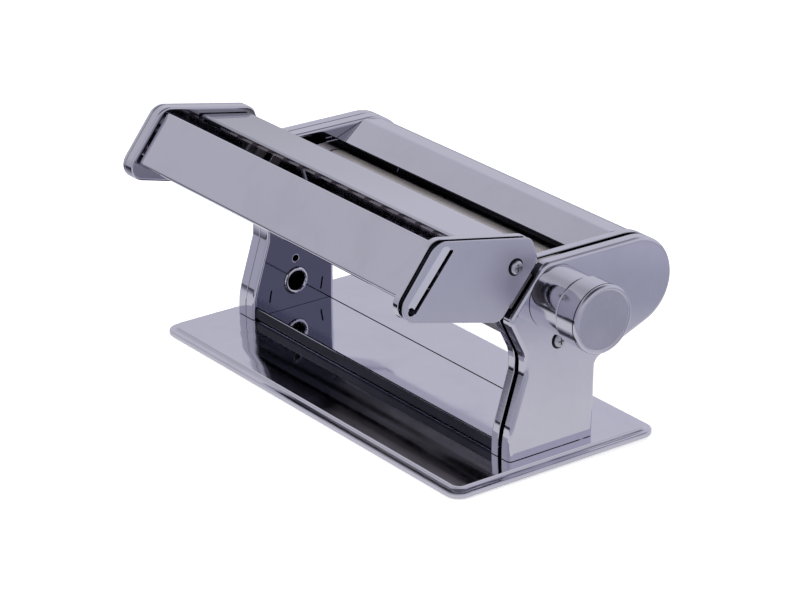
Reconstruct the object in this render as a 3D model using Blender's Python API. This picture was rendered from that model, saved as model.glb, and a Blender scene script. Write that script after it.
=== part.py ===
"""Hand-cranked pasta roller machine with a hung cutter head.

Lengths are in millimetres and are scaled to metres as each mesh is made.
X runs along the rollers, with the setting knob at +X. -Y is the front, where the
cutter head hangs. Z = 0 is the surface that the feet stand on. The sizes below count
from the middle of the base. An empty then carries the whole machine by BASE_CENTRE, so
that the origin is under the middle of the machine's overall box, knob and head included.
"""

import math

import bmesh
import bpy
from mathutils import Matrix, Vector

MM = 0.001
GAP = 0.3            # clearance between pieces that touch
SHEET = 1.0          # thickness of the pressed steel

# Base
BASE_CENTRE = (-12.0, 5.46)
BASE_HALF_X = 120.0
BASE_HALF_Y = 60.0
BASE_CORNER = 8.0
BASE_TOP = 5.0
FOOT_RADIUS = 7.0
FOOT_INSET = 13.0
TRAY_FRONT_Y = -20.2
TRAY_REAR_Y = 27.0
TRAY_LIP_Z = 11.3    # top of the tray's turned-up front edge

# End housings
INNER_X = 96.0       # inner face of each side frame
SEAM_X = 101.4       # where the frame's rim meets the cover's rim
OUTER_X = 110.0      # outer face of each cover
LEG_FRONT_Y = -21.5
LEG_REAR_Y = 28.2
CLAMP_HOLE = (4.8, 20.5)
CLAMP_HOLE_RADIUS = 7.3
PIN_HOLE = (4.9, 32.4)
PIN_HOLE_RADIUS = 1.9
LEG_SLOTS_Y = (-11.0, 20.5)
LEG_SLOT_BOTTOM = 12.0
LEG_SLOT_TOP = 18.5
COVER_SCREW = (6.5, 58.9)
SCREW_HOLE_RADIUS = 1.9
SHANK_RADIUS = 1.5
HOUSING_TOP = 97.8
NOSE = (51.5, 75.6)
NOSE_RADIUS = 22.2
SLOPE_FOOT = (-22.4, 74.5)
SLOPE_HEAD = (-1.8, 98.2)
EDGE_RADIUS = 2.5
FRAME_EDGE_RADIUS = 1.2
TIE_RODS = ((-11.5, 64.0), (30.0, 53.0), (58.0, 68.0))
TIE_ROD_RADIUS = 3.0
WIPER_THICKNESS = 0.8

# Sheeting rollers and their drive
KNOB_AXIS = (4.2, 80.8)
THROW = 1.1          # eccentricity of the setting cams
NIP_LINE = (0.976, -0.219)
ROLLER_RADIUS = 10.8
ROLLER_GAP = 0.35
BARREL_X = 92.8
JOURNAL_RADIUS = 3.5
DRIVE_JOURNAL_RADIUS = 4.5
DRIVE_HOLE_RADIUS = 7.3
DRIVE_BUSH_RADIUS = 7.0
FRONT_BUSH_RADIUS = 4.6
GEAR_SPAN = (-99.6, -103.4)
GEAR_ADDENDUM = 1.3
GEAR_DEDENDUM = 1.65
GUARD_CLEAR = 0.4    # from the barrel's end to the guard plate
SOCKET_RADIUS = 8.0
SOCKET_SPAN = (-110.6, -104.3)
SOCKET_HEX_RADIUS = 4.6
SOCKET_HEX_DEPTH_X = -105.3
SOCKET_WINDOW_RADIUS = 8.6
FRONT_AXIS = tuple(k + THROW * n for k, n in zip(KNOB_AXIS, NIP_LINE))
ROLLER_PITCH = 2 * ROLLER_RADIUS + ROLLER_GAP
REAR_AXIS = tuple(f + ROLLER_PITCH * n for f, n in zip(FRONT_AXIS, NIP_LINE))
ROLLER_TEETH = 16

# Setting knob
BOSS_RADIUS = 15.4
BOSS_END_X = 129.2
KNOB_RADIUS = 16.4
KNOB_START_X = 129.8
KNOB_FACE_X = 144.0
CAM_RADIUS = 8.5
CAM_HOLE_RADIUS = 6.0
FRAME_CAM_HOLE_RADIUS = 8.8
SHAFT_RADIUS = 5.0
SHAFT_END_RADIUS = 4.0
SHAFT_HOLE_RADIUS = 7.0

# Cutter head
CAP_OUTER_X = 113.0
CAP_SEAM_X = 108.8
CAP_INNER_X = 101.8
CAP_TOP_FRONT = (-65.5, 125.0)
CAP_TOP_REAR = (-12.5, 114.5)
CAP_REAR = (-8.8, 102.6)
CAP_BOTTOM_REAR = (-30.4, 77.8)
CAP_BOTTOM_FRONT = (-90.0, 93.0)
CAP_SCREW = (-21.8, 102.6)
CUTTER_RADIUS = 8.5
GROOVE_RADIUS = 6.7
CUTTER_FRONT_AXIS = (-63.2, 104.2)
CUTTER_REAR_AXIS = (-47.9, 101.15)
RING_PITCH = 13.0
RING_WIDTH = 6.1
CUTTER_TEETH = 12
CUTTER_JOURNAL_RADIUS = 3.8
CUTTER_BARREL_X = 98.0
CUTTER_SOCKET_RADIUS = 6.2
CUTTER_WINDOW_RADIUS = 6.6
GROOVE_FOOT = (-78.6, 96.4)
GROOVE_HEAD = (-59.4, 119.6)
GROOVE_HALF_WIDTH = 1.8

SLOPE = Vector((0, SLOPE_HEAD[0] - SLOPE_FOOT[0], SLOPE_HEAD[1] - SLOPE_FOOT[1])).normalized()
SLOPE_OUT = Vector((0, -SLOPE.z, SLOPE.y))


# ---------------------------------------------------------------- materials

def material(name, colour, roughness, metallic=1.0):
    made = bpy.data.materials.new(name)
    made.use_nodes = True
    shader = made.node_tree.nodes["Principled BSDF"]
    shader.inputs["Base Color"].default_value = (*colour, 1.0)
    shader.inputs["Roughness"].default_value = roughness
    shader.inputs["Metallic"].default_value = metallic
    return made


# ---------------------------------------------------------------- outlines

def arc(centre, radius, start, end, steps):
    """Points on an arc, with its angles in degrees."""
    angles = [math.radians(start + (end - start) * i / steps) for i in range(steps + 1)]
    return [(centre[0] + radius * math.cos(a), centre[1] + radius * math.sin(a)) for a in angles]


def filleted(corners, closed=False, steps=2):
    """A polyline of (y, z, radius) corners, with each corner that has a radius rounded."""
    count = len(corners)
    points = []
    for i, (y, z, radius) in enumerate(corners):
        if radius == 0 or (not closed and i in (0, count - 1)):
            points.append((y, z))
            continue
        here = Vector((y, z))
        before = (Vector(corners[i - 1][:2]) - here).normalized()
        after = (Vector(corners[(i + 1) % count][:2]) - here).normalized()
        half = before.angle(after) / 2
        middle = here + (before + after).normalized() * radius / math.sin(half)
        first = here + before * radius / math.tan(half) - middle
        last = here + after * radius / math.tan(half) - middle
        for k in range(steps + 1):
            spoke = first.slerp(last, k / steps).normalized() * radius
            points.append(tuple(middle + spoke))
    return points


def rounded_rectangle(half_x, half_y, radius, steps=4):
    points = []
    for sx, sy, start in ((1, 1, 0), (-1, 1, 90), (-1, -1, 180), (1, -1, 270)):
        centre = (sx * (half_x - radius), sy * (half_y - radius))
        points += arc(centre, radius, start, start + 90, steps)
    return points


def band(path, thickness):
    """The closed outline of a sheet whose one face follows the path."""
    points = [Vector(p) for p in path]
    other = []
    for i, point in enumerate(points):
        ahead = (points[min(i + 1, len(points) - 1)] - point)
        behind = (point - points[max(i - 1, 0)])
        if ahead.length == 0:
            ahead = behind
        if behind.length == 0:
            behind = ahead
        ahead.normalize()
        behind.normalize()
        mean = (ahead + behind).normalized()
        normal = Vector((-mean.y, mean.x))
        other.append(tuple(point + normal * thickness / max(mean.dot(ahead), 0.5)))
    return [tuple(p) for p in points] + other[::-1]


def housing_outline():
    """The side housing: a foot, a waist, a sloping front and a round nose at the rear."""
    front = filleted([
        (LEG_FRONT_Y, BASE_TOP + GAP, 0),
        (LEG_FRONT_Y + 0.1, 16.0, 18),
        (-12.4, 45.0, 0),
        (-12.0, 54.0, 14),
        (*SLOPE_FOOT, 2.5),
        (*SLOPE_HEAD, 6),
        (NOSE[0], HOUSING_TOP, 0),
    ])
    nose = arc(NOSE, NOSE_RADIUS, 90, -69, 9)
    rear = filleted([(*nose[-1], 0), (LEG_REAR_Y + 0.6, 43.0, 5), (LEG_REAR_Y, BASE_TOP + GAP, 0)])
    return front[:-1] + nose + rear[1:]


def cap_outline():
    """The end cap of the cutter head: a leaning five-sided plate with round corners."""
    return filleted([
        (*CAP_TOP_FRONT, 8), (*CAP_TOP_REAR, 6), (*CAP_REAR, 5),
        (*CAP_BOTTOM_REAR, 6), (*CAP_BOTTOM_FRONT, 7),
    ], closed=True)


def gear_outline(teeth, pitch_radius, tip_radius, root_radius, phase):
    """An involute gear with a 25 degree pressure angle and a little backlash."""
    pressure = math.radians(25)
    base_radius = pitch_radius * math.cos(pressure)
    involute = math.tan(pressure) - pressure
    half_pitch = math.pi / teeth / 2 - 0.16 / pitch_radius
    flank = []
    inner_radius = max(base_radius, root_radius)
    for step in range(3):
        radius = inner_radius + (tip_radius - inner_radius) * step / 2
        angle = math.acos(min(1, base_radius / radius))
        flank.append((radius, half_pitch + involute - (math.tan(angle) - angle)))
    points = []
    for tooth in range(teeth):
        middle = phase + 2 * math.pi * tooth / teeth
        root = (root_radius, flank[0][1] + 0.02)
        for radius, half in [root] + flank:
            points.append((radius * math.cos(middle - half), radius * math.sin(middle - half)))
        for radius, half in (flank[::-1] + [root]):
            points.append((radius * math.cos(middle + half), radius * math.sin(middle + half)))
    return points


# ---------------------------------------------------------------- meshes

def prism(outline, x0, x1):
    """The outline in Y and Z, drawn out along X."""
    bm = bmesh.new()
    face = bm.faces.new([bm.verts.new((x0, y, z)) for y, z in outline])
    made = bmesh.ops.extrude_face_region(bm, geom=[face])["geom"]
    moved = [item for item in made if isinstance(item, bmesh.types.BMVert)]
    bmesh.ops.translate(bm, vec=(x1 - x0, 0, 0), verts=moved)
    bmesh.ops.recalc_face_normals(bm, faces=bm.faces)
    return bm


def face_at(bm, x):
    return next(f for f in bm.faces if all(abs(v.co.x - x) < 1e-4 for v in f.verts))


def tray(outline, plate_x, rim_x, edge_radius):
    """A pressed plate at plate_x, with a rim all round that stands to rim_x."""
    bm = prism(outline, plate_x, rim_x)
    inward = math.copysign(1, rim_x - plate_x)
    edges = list(face_at(bm, plate_x).edges)
    bmesh.ops.bevel(bm, geom=edges, offset=edge_radius, segments=2, profile=0.5, affect="EDGES")
    rim = face_at(bm, rim_x)
    bmesh.ops.inset_region(bm, faces=[rim], thickness=SHEET, use_even_offset=True)
    floor = bmesh.ops.extrude_discrete_faces(bm, faces=[face_at_inside(bm, rim_x)])["faces"][0]
    shift = plate_x + inward * SHEET - rim_x
    bmesh.ops.translate(bm, vec=(shift, 0, 0), verts=floor.verts)
    bmesh.ops.recalc_face_normals(bm, faces=bm.faces)
    return bm


def face_at_inside(bm, x):
    """The largest face at x, which is the one that the inset left inside the rim."""
    flat = [f for f in bm.faces if all(abs(v.co.x - x) < 1e-4 for v in f.verts)]
    return max(flat, key=lambda f: f.calc_area())


def turned(profile, segments=24, ring=False):
    """A profile of (x, radius) points spun about X; a ring's profile is closed."""
    bm = bmesh.new()
    verts = [bm.verts.new((x, 0, r)) for x, r in profile]
    pairs = list(zip(verts, verts[1:]))
    if ring:
        pairs.append((verts[-1], verts[0]))
    edges = [bm.edges.new(pair) for pair in pairs if max(vert.co.z for vert in pair) > 0]
    bmesh.ops.spin(
        bm, geom=verts + edges, cent=(0, 0, 0), axis=(1, 0, 0),
        angle=2 * math.pi, steps=segments, use_merge=True,
    )
    bmesh.ops.remove_doubles(bm, verts=bm.verts, dist=1e-3)
    if not ring:
        bmesh.ops.holes_fill(bm, edges=bm.edges, sides=0)
    bmesh.ops.recalc_face_normals(bm, faces=bm.faces)
    return bm


def finished(name, bm, surface, at=(0, 0), parent=None, smooth=True):
    """Makes the named object, in metres, with its origin at (0, y, z)."""
    wide = [face for face in bm.faces if len(face.verts) > 4]
    bmesh.ops.triangulate(bm, faces=wide)
    bmesh.ops.scale(bm, vec=(MM, MM, MM), verts=bm.verts)
    mesh = bpy.data.meshes.new(name)
    bm.to_mesh(mesh)
    bm.free()
    mesh.materials.append(surface)
    if smooth:
        mesh.shade_smooth()
        mesh.set_sharp_from_angle(angle=math.radians(35))
    obj = bpy.data.objects.new(name, mesh)
    bpy.context.scene.collection.objects.link(obj)
    carry(obj, at, parent)
    return obj


def carry(obj, at, parent):
    """Places the object at (0, y, z) and parents it; without a parent, the machine carries it."""
    obj.location = (0, at[0] * MM, at[1] * MM)
    if parent:
        obj.parent = parent
        obj.matrix_parent_inverse = Matrix.Translation(-parent.location)
    else:
        obj.parent = bpy.data.objects["machine"]


def pivot(name, at, parent=None):
    """An empty on a joint's axis, which carries the pieces that move about it."""
    empty = bpy.data.objects.new(name, None)
    bpy.context.scene.collection.objects.link(empty)
    carry(empty, at, parent)
    return empty


def make_machine():
    machine = bpy.data.objects.new("machine", None)
    bpy.context.scene.collection.objects.link(machine)
    machine.location = (BASE_CENTRE[0] * MM, BASE_CENTRE[1] * MM, 0)


def cut(target, bm, at=(0, 0)):
    """Takes a shape away from the target with a hidden cutter."""
    number = len(target.modifiers) + 1
    cutter = finished(f"{target.name}_cutter_{number}", bm, target.data.materials[0], at, None, False)
    cutter.hide_render = True
    cutter.display_type = "WIRE"
    boolean = target.modifiers.new(f"cut_{number}", "BOOLEAN")
    boolean.operation = "DIFFERENCE"
    boolean.solver = "EXACT"
    boolean.object = cutter


def drilled(target, axis, radius, x0, x1, segments=20):
    cut(target, turned([(min(x0, x1), radius), (max(x0, x1), radius)], segments), axis)


def mirrored(side, x):
    """An X value on the named side."""
    return x if side == "right" else -x


# ---------------------------------------------------------------- the base

def make_base(chrome, rubber):
    levels = [
        (0.0, 0.8), (0.0, 2.8), (0.9, 3.6), (2.6, 3.7), (3.6, BASE_TOP),
    ]
    inside = [(4.6, BASE_TOP - SHEET), (3.2, 2.8), (1.2, 2.3), (1.0, 0.8)]
    bm = bmesh.new()
    loops = []
    for inset, z in levels[::-1] + inside[::-1]:
        loop = rounded_rectangle(BASE_HALF_X - inset, BASE_HALF_Y - inset, BASE_CORNER - inset)
        loops.append([bm.verts.new((x, y, z)) for x, y in loop])
    for lower, upper in zip(loops, loops[1:]):
        for i in range(len(lower)):
            j = (i + 1) % len(lower)
            bm.faces.new((lower[i], lower[j], upper[j], upper[i]))
    bm.faces.new(loops[0])
    bm.faces.new(loops[-1])
    bmesh.ops.recalc_face_normals(bm, faces=bm.faces)
    finished("base_plate", bm, chrome)
    for number, (sx, sy) in enumerate(((-1, -1), (1, -1), (-1, 1), (1, 1)), start=1):
        foot = bmesh.new()
        bmesh.ops.create_cone(
            foot, cap_ends=True, segments=16, radius1=FOOT_RADIUS - 0.6, radius2=FOOT_RADIUS,
            depth=BASE_TOP - SHEET - GAP,
        )
        centre = (sx * (BASE_HALF_X - FOOT_INSET), sy * (BASE_HALF_Y - FOOT_INSET))
        height = (BASE_TOP - SHEET - GAP) / 2
        bmesh.ops.translate(foot, vec=(*centre, height), verts=foot.verts)
        finished(f"rubber_foot_{number}", foot, rubber)


def make_floor_tray(chrome):
    z = BASE_TOP + GAP
    path = filleted([
        (TRAY_FRONT_Y + 1.6, TRAY_LIP_Z, 0), (TRAY_FRONT_Y, TRAY_LIP_Z, 1.1),
        (TRAY_FRONT_Y, z, 1.2), (TRAY_REAR_Y, z, 0),
    ], steps=2)
    finished("floor_tray", prism(band(path, SHEET), -INNER_X + GAP, INNER_X - GAP), chrome)


# ---------------------------------------------------------------- side housings

def make_side_frames(chrome, steel):
    """Inner pressed frames, with the bearing holes, the clamp hole and the hopper arch."""
    arch = filleted([(0.0, 91.0, 0), (0.0, 96.2, 1), (13.0, 96.2, 10), (29.0, 91.0, 0)], steps=4)
    for side in ("left", "right"):
        plate = mirrored(side, INNER_X)
        rim = mirrored(side, SEAM_X - GAP / 2)
        sheet = tray(housing_outline(), plate, rim, FRAME_EDGE_RADIUS)
        frame = finished(f"{side}_inner_frame", sheet, chrome)
        beyond = plate + math.copysign(3, plate)
        before = plate - math.copysign(3, plate)
        for hole, radius, segments in (
            (KNOB_AXIS, FRAME_CAM_HOLE_RADIUS, 20), (REAR_AXIS, DRIVE_HOLE_RADIUS, 20),
            (CLAMP_HOLE, CLAMP_HOLE_RADIUS, 20), (PIN_HOLE, PIN_HOLE_RADIUS, 12),
        ):
            drilled(frame, hole, radius, before, beyond, segments)
        cut(frame, prism(arch, before, beyond))
        for y in LEG_SLOTS_Y:
            slot = [
                (y - 0.9, LEG_SLOT_BOTTOM), (y + 0.1, LEG_SLOT_BOTTOM),
                (y + 1.3, LEG_SLOT_TOP), (y + 0.3, LEG_SLOT_TOP),
            ]
            cut(frame, prism(slot, before, beyond))
        grommet = [
            (plate - math.copysign(1.0, plate), 5.2), (plate - math.copysign(1.0, plate), 6.6),
            (plate - math.copysign(0.3, plate), 7.0), (plate + math.copysign(4.5, plate), 7.0),
            (plate + math.copysign(4.5, plate), 5.6), (plate, 5.6),
        ]
        finished(f"{side}_clamp_bush", turned(grommet, 20, ring=True), steel, CLAMP_HOLE)


def make_side_covers(chrome, steel):
    """Outer pressed covers; each one's screw sits below the knob line."""
    for side in ("left", "right"):
        plate = mirrored(side, OUTER_X)
        rim = mirrored(side, SEAM_X + GAP / 2)
        cover = finished(f"{side}_cover", tray(housing_outline(), plate, rim, EDGE_RADIUS), chrome)
        outward = math.copysign(1, plate)
        far = plate + outward * 3
        near = plate - outward * 4
        if side == "right":
            drilled(cover, KNOB_AXIS, SHAFT_HOLE_RADIUS, near, far)
        else:
            drilled(cover, REAR_AXIS, SOCKET_WINDOW_RADIUS, near, far, 24)
        drilled(cover, COVER_SCREW, SCREW_HOLE_RADIUS, near, far, 12)
        head = [
            (plate + outward * GAP, SHANK_RADIUS), (plate + outward * GAP, 3.3),
            (plate + outward * 1.2, 3.1), (plate + outward * 1.9, 2.0),
        ]
        make_screw(f"{side}_cover_screw", head, plate - outward * 7, steel, COVER_SCREW)


def make_screw(name, head, shank_end, steel, axis, parent=None):
    """A pan-head screw, from the end of its shank to the top of its head."""
    finished(name, turned([(shank_end, SHANK_RADIUS)] + head, 14), steel, axis, parent)


def make_body_panels(chrome, steel):
    span = (-INNER_X + GAP, INNER_X - GAP)
    back = [(31.5, 46.4)] + arc(NOSE, NOSE_RADIUS - 0.9, -69, 90, 11)
    hopper = [(46.8, 97.0), (31.0, 91.2)]
    finished("rear_shell", prism(band(back + hopper, SHEET), *span), chrome)
    inset = -SLOPE_OUT * 0.8
    foot = (SLOPE_FOOT[0] + inset.y + 1.2, SLOPE_FOOT[1] + inset.z + 2.0)
    apron = filleted([
        (3.5, 93.9, 0), (-2.0, 96.2, 1.5), (foot[0], foot[1], 1.2), (foot[0] + 3.2, foot[1] - 3.2, 0),
    ], steps=2)
    finished("front_apron", prism(band(apron, SHEET), *span), chrome)
    for number, place in enumerate(TIE_RODS, start=1):
        rod = turned([(span[0], TIE_ROD_RADIUS), (span[1], TIE_ROD_RADIUS)], 12)
        finished(f"tie_rod_{number}", rod, steel, place)
    wipers = {
        "front_scraper": [(-6.5, 61.5), (2.6, 68.0)],
        "rear_scraper": [(29.0, 63.2), (38.0, 57.0)],
    }
    for name, path in wipers.items():
        finished(name, prism(band(path, WIPER_THICKNESS), -BARREL_X, BARREL_X), steel)


def make_roller_guards(chrome):
    """Thin plates at both ends of the rollers, which keep the dough between them."""
    outline = filleted([
        (-5.0, 86.0, 0), (-5.0, 91.5, 2), (30.0, 91.5, 2), (37.0, 84.0, 2),
        (37.0, 67.0, 2), (-5.0, 67.0, 2),
    ], steps=2)
    for side in ("left", "right"):
        near = mirrored(side, BARREL_X + GUARD_CLEAR)
        far = mirrored(side, BARREL_X + GUARD_CLEAR + SHEET)
        guard = finished(f"{side}_roller_guard", prism(outline, near, far), chrome)
        drilled(guard, KNOB_AXIS, 7.5, near - 2, near + 2)
        drilled(guard, REAR_AXIS, 6.0, near - 2, near + 2)


# ---------------------------------------------------------------- sheeting rollers

def roller_phase(toward):
    """The angle of a tooth that points along the line of centres."""
    return math.atan2(toward[1], toward[0])


def make_gear(name, teeth, pitch_radius, tip, root, phase, span, bore, axis, parent, surface):
    gear = finished(name, prism(gear_outline(teeth, pitch_radius, tip, root, phase), *span),
                    surface, axis, parent, smooth=False)
    drilled(gear, axis, bore, min(span) - 2, max(span) + 2, 16)


def make_drive_roller(steel, gear_steel, bronze):
    axis = pivot("drive_roller_axis", REAR_AXIS)
    barrel = [
        (-104.0, DRIVE_JOURNAL_RADIUS), (-BARREL_X, DRIVE_JOURNAL_RADIUS),
        (-BARREL_X, ROLLER_RADIUS), (BARREL_X, ROLLER_RADIUS),
        (BARREL_X, DRIVE_JOURNAL_RADIUS), (99.6, DRIVE_JOURNAL_RADIUS),
    ]
    finished("drive_roller", turned(barrel, 28), steel, REAR_AXIS, axis)
    pitch_radius = ROLLER_PITCH / 2
    to_front = (-NIP_LINE[0], -NIP_LINE[1])
    make_gear("drive_gear", ROLLER_TEETH, pitch_radius, pitch_radius + GEAR_ADDENDUM,
              pitch_radius - GEAR_DEDENDUM, roller_phase(to_front), GEAR_SPAN,
              DRIVE_JOURNAL_RADIUS + GAP, REAR_AXIS, axis, gear_steel)
    socket = finished("crank_socket", turned([(x, SOCKET_RADIUS) for x in SOCKET_SPAN], 20),
                      gear_steel, REAR_AXIS, axis)
    hexagon = [(SOCKET_SPAN[0] - 1.4, SOCKET_HEX_RADIUS), (SOCKET_HEX_DEPTH_X, SOCKET_HEX_RADIUS)]
    cut(socket, turned(hexagon, 6), REAR_AXIS)
    for side in ("left", "right"):
        bore = DRIVE_JOURNAL_RADIUS + 0.1
        bush = [(mirrored(side, x), r) for x, r in (
            (94.9, bore), (94.9, DRIVE_BUSH_RADIUS), (98.9, DRIVE_BUSH_RADIUS), (98.9, bore))]
        finished(f"{side}_drive_bush", turned(bush, 20, ring=True), bronze, REAR_AXIS)


def make_front_roller(steel, gear_steel, bronze):
    carriage = pivot("front_roller_slide", FRONT_AXIS)
    axis = pivot("front_roller_axis", FRONT_AXIS, carriage)
    barrel = [
        (-103.6, JOURNAL_RADIUS), (-BARREL_X, JOURNAL_RADIUS), (-BARREL_X, ROLLER_RADIUS),
        (BARREL_X, ROLLER_RADIUS), (BARREL_X, JOURNAL_RADIUS), (97.7, JOURNAL_RADIUS),
    ]
    finished("front_roller", turned(barrel, 28), steel, FRONT_AXIS, axis)
    pitch_radius = ROLLER_PITCH / 2
    phase = roller_phase(NIP_LINE) + math.pi / ROLLER_TEETH
    make_gear("front_roller_gear", ROLLER_TEETH, pitch_radius, pitch_radius + GEAR_ADDENDUM,
              pitch_radius - GEAR_DEDENDUM, phase, GEAR_SPAN, JOURNAL_RADIUS + GAP, FRONT_AXIS,
              axis, gear_steel)
    for side in ("left", "right"):
        bore = JOURNAL_RADIUS + 0.1
        bush = [(mirrored(side, x), r) for x, r in (
            (95.0, bore), (95.0, FRONT_BUSH_RADIUS), (97.7, FRONT_BUSH_RADIUS), (97.7, bore))]
        finished(f"{side}_front_bush", turned(bush, 16, ring=True), bronze, FRONT_AXIS, carriage)


def make_setting_knob(chrome, steel, bronze):
    """Two eccentric cams about the knob's axis; the right one carries the knob's shaft."""
    axis = pivot("setting_axis", KNOB_AXIS)
    left = finished("left_setting_cam", turned([(-98.8, CAM_RADIUS), (-95.0, CAM_RADIUS)], 24),
                    bronze, KNOB_AXIS, axis)
    drilled(left, FRONT_AXIS, CAM_HOLE_RADIUS, -93.0, -101.0)
    shaft = [
        (95.0, CAM_RADIUS), (100.0, CAM_RADIUS), (100.0, SHAFT_RADIUS), (130.4, SHAFT_RADIUS),
        (130.4, SHAFT_END_RADIUS), (138.4, SHAFT_END_RADIUS),
    ]
    right = finished("setting_shaft", turned(shaft, 24), bronze, KNOB_AXIS, axis)
    drilled(right, FRONT_AXIS, CAM_HOLE_RADIUS, 93.0, 98.2)
    boss = [
        (OUTER_X + GAP, 5.4), (OUTER_X + GAP, BOSS_RADIUS), (BOSS_END_X - 0.8, BOSS_RADIUS),
        (BOSS_END_X, BOSS_RADIUS - 0.8), (BOSS_END_X, 5.4),
    ]
    finished("knob_boss", turned(boss, 32, ring=True), chrome, KNOB_AXIS)
    cap = filleted([
        (KNOB_START_X + 1.0, 5.4, 0), (KNOB_START_X, 7.0, 0), (KNOB_START_X, KNOB_RADIUS - 0.5, 0),
        (KNOB_START_X + 0.6, KNOB_RADIUS, 0), (KNOB_FACE_X, KNOB_RADIUS, 2.6),
        (KNOB_FACE_X, 13.2, 0), (KNOB_FACE_X - 0.5, 12.8, 0), (KNOB_FACE_X - 0.5, 0, 0),
    ])
    hollow = [(141.0, 0), (141.0, 8.2), (133.6, 8.2), (133.6, 5.4)]
    finished("setting_knob", turned(cap + hollow, 32, ring=True), chrome, KNOB_AXIS, axis)
    stop = [(136.9, 4.3), (136.9, 7.2), (138.2, 7.2), (138.2, 4.3)]
    finished("knob_stop_ring", turned(stop, 20, ring=True), steel, KNOB_AXIS, axis)


# ---------------------------------------------------------------- cutter head

def make_head_caps(chrome, steel, head):
    ends = [Vector(GROOVE_FOOT), Vector(GROOVE_HEAD)]
    along = (ends[1] - ends[0]).normalized()
    across = Vector((-along.y, along.x)) * GROOVE_HALF_WIDTH
    groove = [tuple(p) for p in (ends[0] - across, ends[1] - across, ends[1] + across, ends[0] + across)]
    for side in ("left", "right"):
        outward = mirrored(side, 1.0)
        seam = mirrored(side, CAP_SEAM_X - GAP / 2)
        sheet = tray(cap_outline(), mirrored(side, CAP_INNER_X), seam, FRAME_EDGE_RADIUS)
        inner = finished(f"head_{side}_inner_cap", sheet, chrome, (0, 0), head)
        for axis in (CUTTER_FRONT_AXIS, CUTTER_REAR_AXIS):
            drilled(inner, axis, 4.3, outward * (CAP_INNER_X - 3), outward * (CAP_INNER_X + 3), 16)
        outer = finished(f"head_{side}_outer_cap", tray(
            cap_outline(), mirrored(side, CAP_OUTER_X), mirrored(side, CAP_SEAM_X + GAP / 2), 2.2),
            chrome, (0, 0), head)
        near, far = outward * (CAP_OUTER_X - 3), outward * (CAP_OUTER_X + 2)
        cut(outer, prism(groove, near, far))
        drilled(outer, CAP_SCREW, SCREW_HOLE_RADIUS, near, far, 12)
        if side == "left":
            drilled(outer, CUTTER_REAR_AXIS, CUTTER_WINDOW_RADIUS, near, far, 20)
        screw_head = [
            (outward * (CAP_OUTER_X + GAP), SHANK_RADIUS), (outward * (CAP_OUTER_X + GAP), 3.2),
            (outward * (CAP_OUTER_X + 1.1), 3.0), (outward * (CAP_OUTER_X + 1.8), 1.9),
        ]
        make_screw(f"head_{side}_screw", screw_head, outward * (CAP_OUTER_X - 5), steel,
                   CAP_SCREW, head)


def make_head_panels(chrome, head):
    span = (-CAP_INNER_X + GAP, CAP_INNER_X - GAP)
    paths = {
        "head_front_panel": [
            (-60.6, 120.6, 0), (-63.6, 122.4, 1.0), (-80.9, 100.0, 1.0), (-78.0, 97.4, 0),
        ],
        "head_middle_panel": [
            (-14.6, 106.6, 0), (-14.6, 111.9, 2.5), (-44.5, 117.5, 1.0), (-43.7, 114.0, 0),
        ],
    }
    for name, corners in paths.items():
        finished(name, prism(band(filleted(corners, steps=3), SHEET), *span), chrome, (0, 0), head)


def make_head_insides(steel, head):
    """The tie bar and the two combs whose fingers clear the grooves."""
    span = CAP_INNER_X - GAP
    rod = turned([(-span, TIE_ROD_RADIUS), (span, TIE_ROD_RADIUS)], 12)
    finished("head_tie_bar", rod, steel, (-30.0, 92.0), head)
    for name, axis, direction, shift in (
        ("front_comb", CUTTER_FRONT_AXIS, Vector((-0.45, -0.89)), RING_PITCH / 2),
        ("rear_comb", CUTTER_REAR_AXIS, Vector((0.62, -0.78)), 0.0),
    ):
        finished(name, comb(axis, direction.normalized(), shift, span), steel, (0, 0), head)


def comb(axis, direction, shift, span):
    """A strip that points at a cutter's axis, with a finger in each groove."""
    tip, root, back = GROOVE_RADIUS + 0.6, CUTTER_RADIUS + 0.6, CUTTER_RADIUS + 4.5
    edge = [(-span, root)]
    for k in range(-8, 9):
        middle = k * RING_PITCH + shift
        if abs(middle) + RING_WIDTH / 2 > 92:
            continue
        edge += [(middle - 2.4, root), (middle - 2.4, tip), (middle + 2.4, tip), (middle + 2.4, root)]
    edge += [(span, root), (span, back), (-span, back)]
    bm = bmesh.new()
    across = Vector((0, -direction.y, direction.x))
    points = [
        Vector((x, axis[0] + direction.x * r, axis[1] + direction.y * r)) - across * 0.4
        for x, r in edge
    ]
    face = bm.faces.new([bm.verts.new(p) for p in points])
    made = bmesh.ops.extrude_face_region(bm, geom=[face])["geom"]
    moved = [item for item in made if isinstance(item, bmesh.types.BMVert)]
    bmesh.ops.translate(bm, vec=across * 0.8, verts=moved)
    bmesh.ops.recalc_face_normals(bm, faces=bm.faces)
    return bm


def cutter_profile(journal_left, journal_right, middles):
    """A grooved roller: a ring at each middle, and grooves between them."""
    points = [
        (journal_left, CUTTER_JOURNAL_RADIUS), (-CUTTER_BARREL_X, CUTTER_JOURNAL_RADIUS),
        (-CUTTER_BARREL_X, GROOVE_RADIUS),
    ]
    for middle in middles:
        low, high = middle - RING_WIDTH / 2, middle + RING_WIDTH / 2
        points += [(low, GROOVE_RADIUS), (low, CUTTER_RADIUS)]
        points += [(high, CUTTER_RADIUS), (high, GROOVE_RADIUS)]
    return points + [
        (CUTTER_BARREL_X, GROOVE_RADIUS), (CUTTER_BARREL_X, CUTTER_JOURNAL_RADIUS),
        (journal_right, CUTTER_JOURNAL_RADIUS),
    ]


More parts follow.
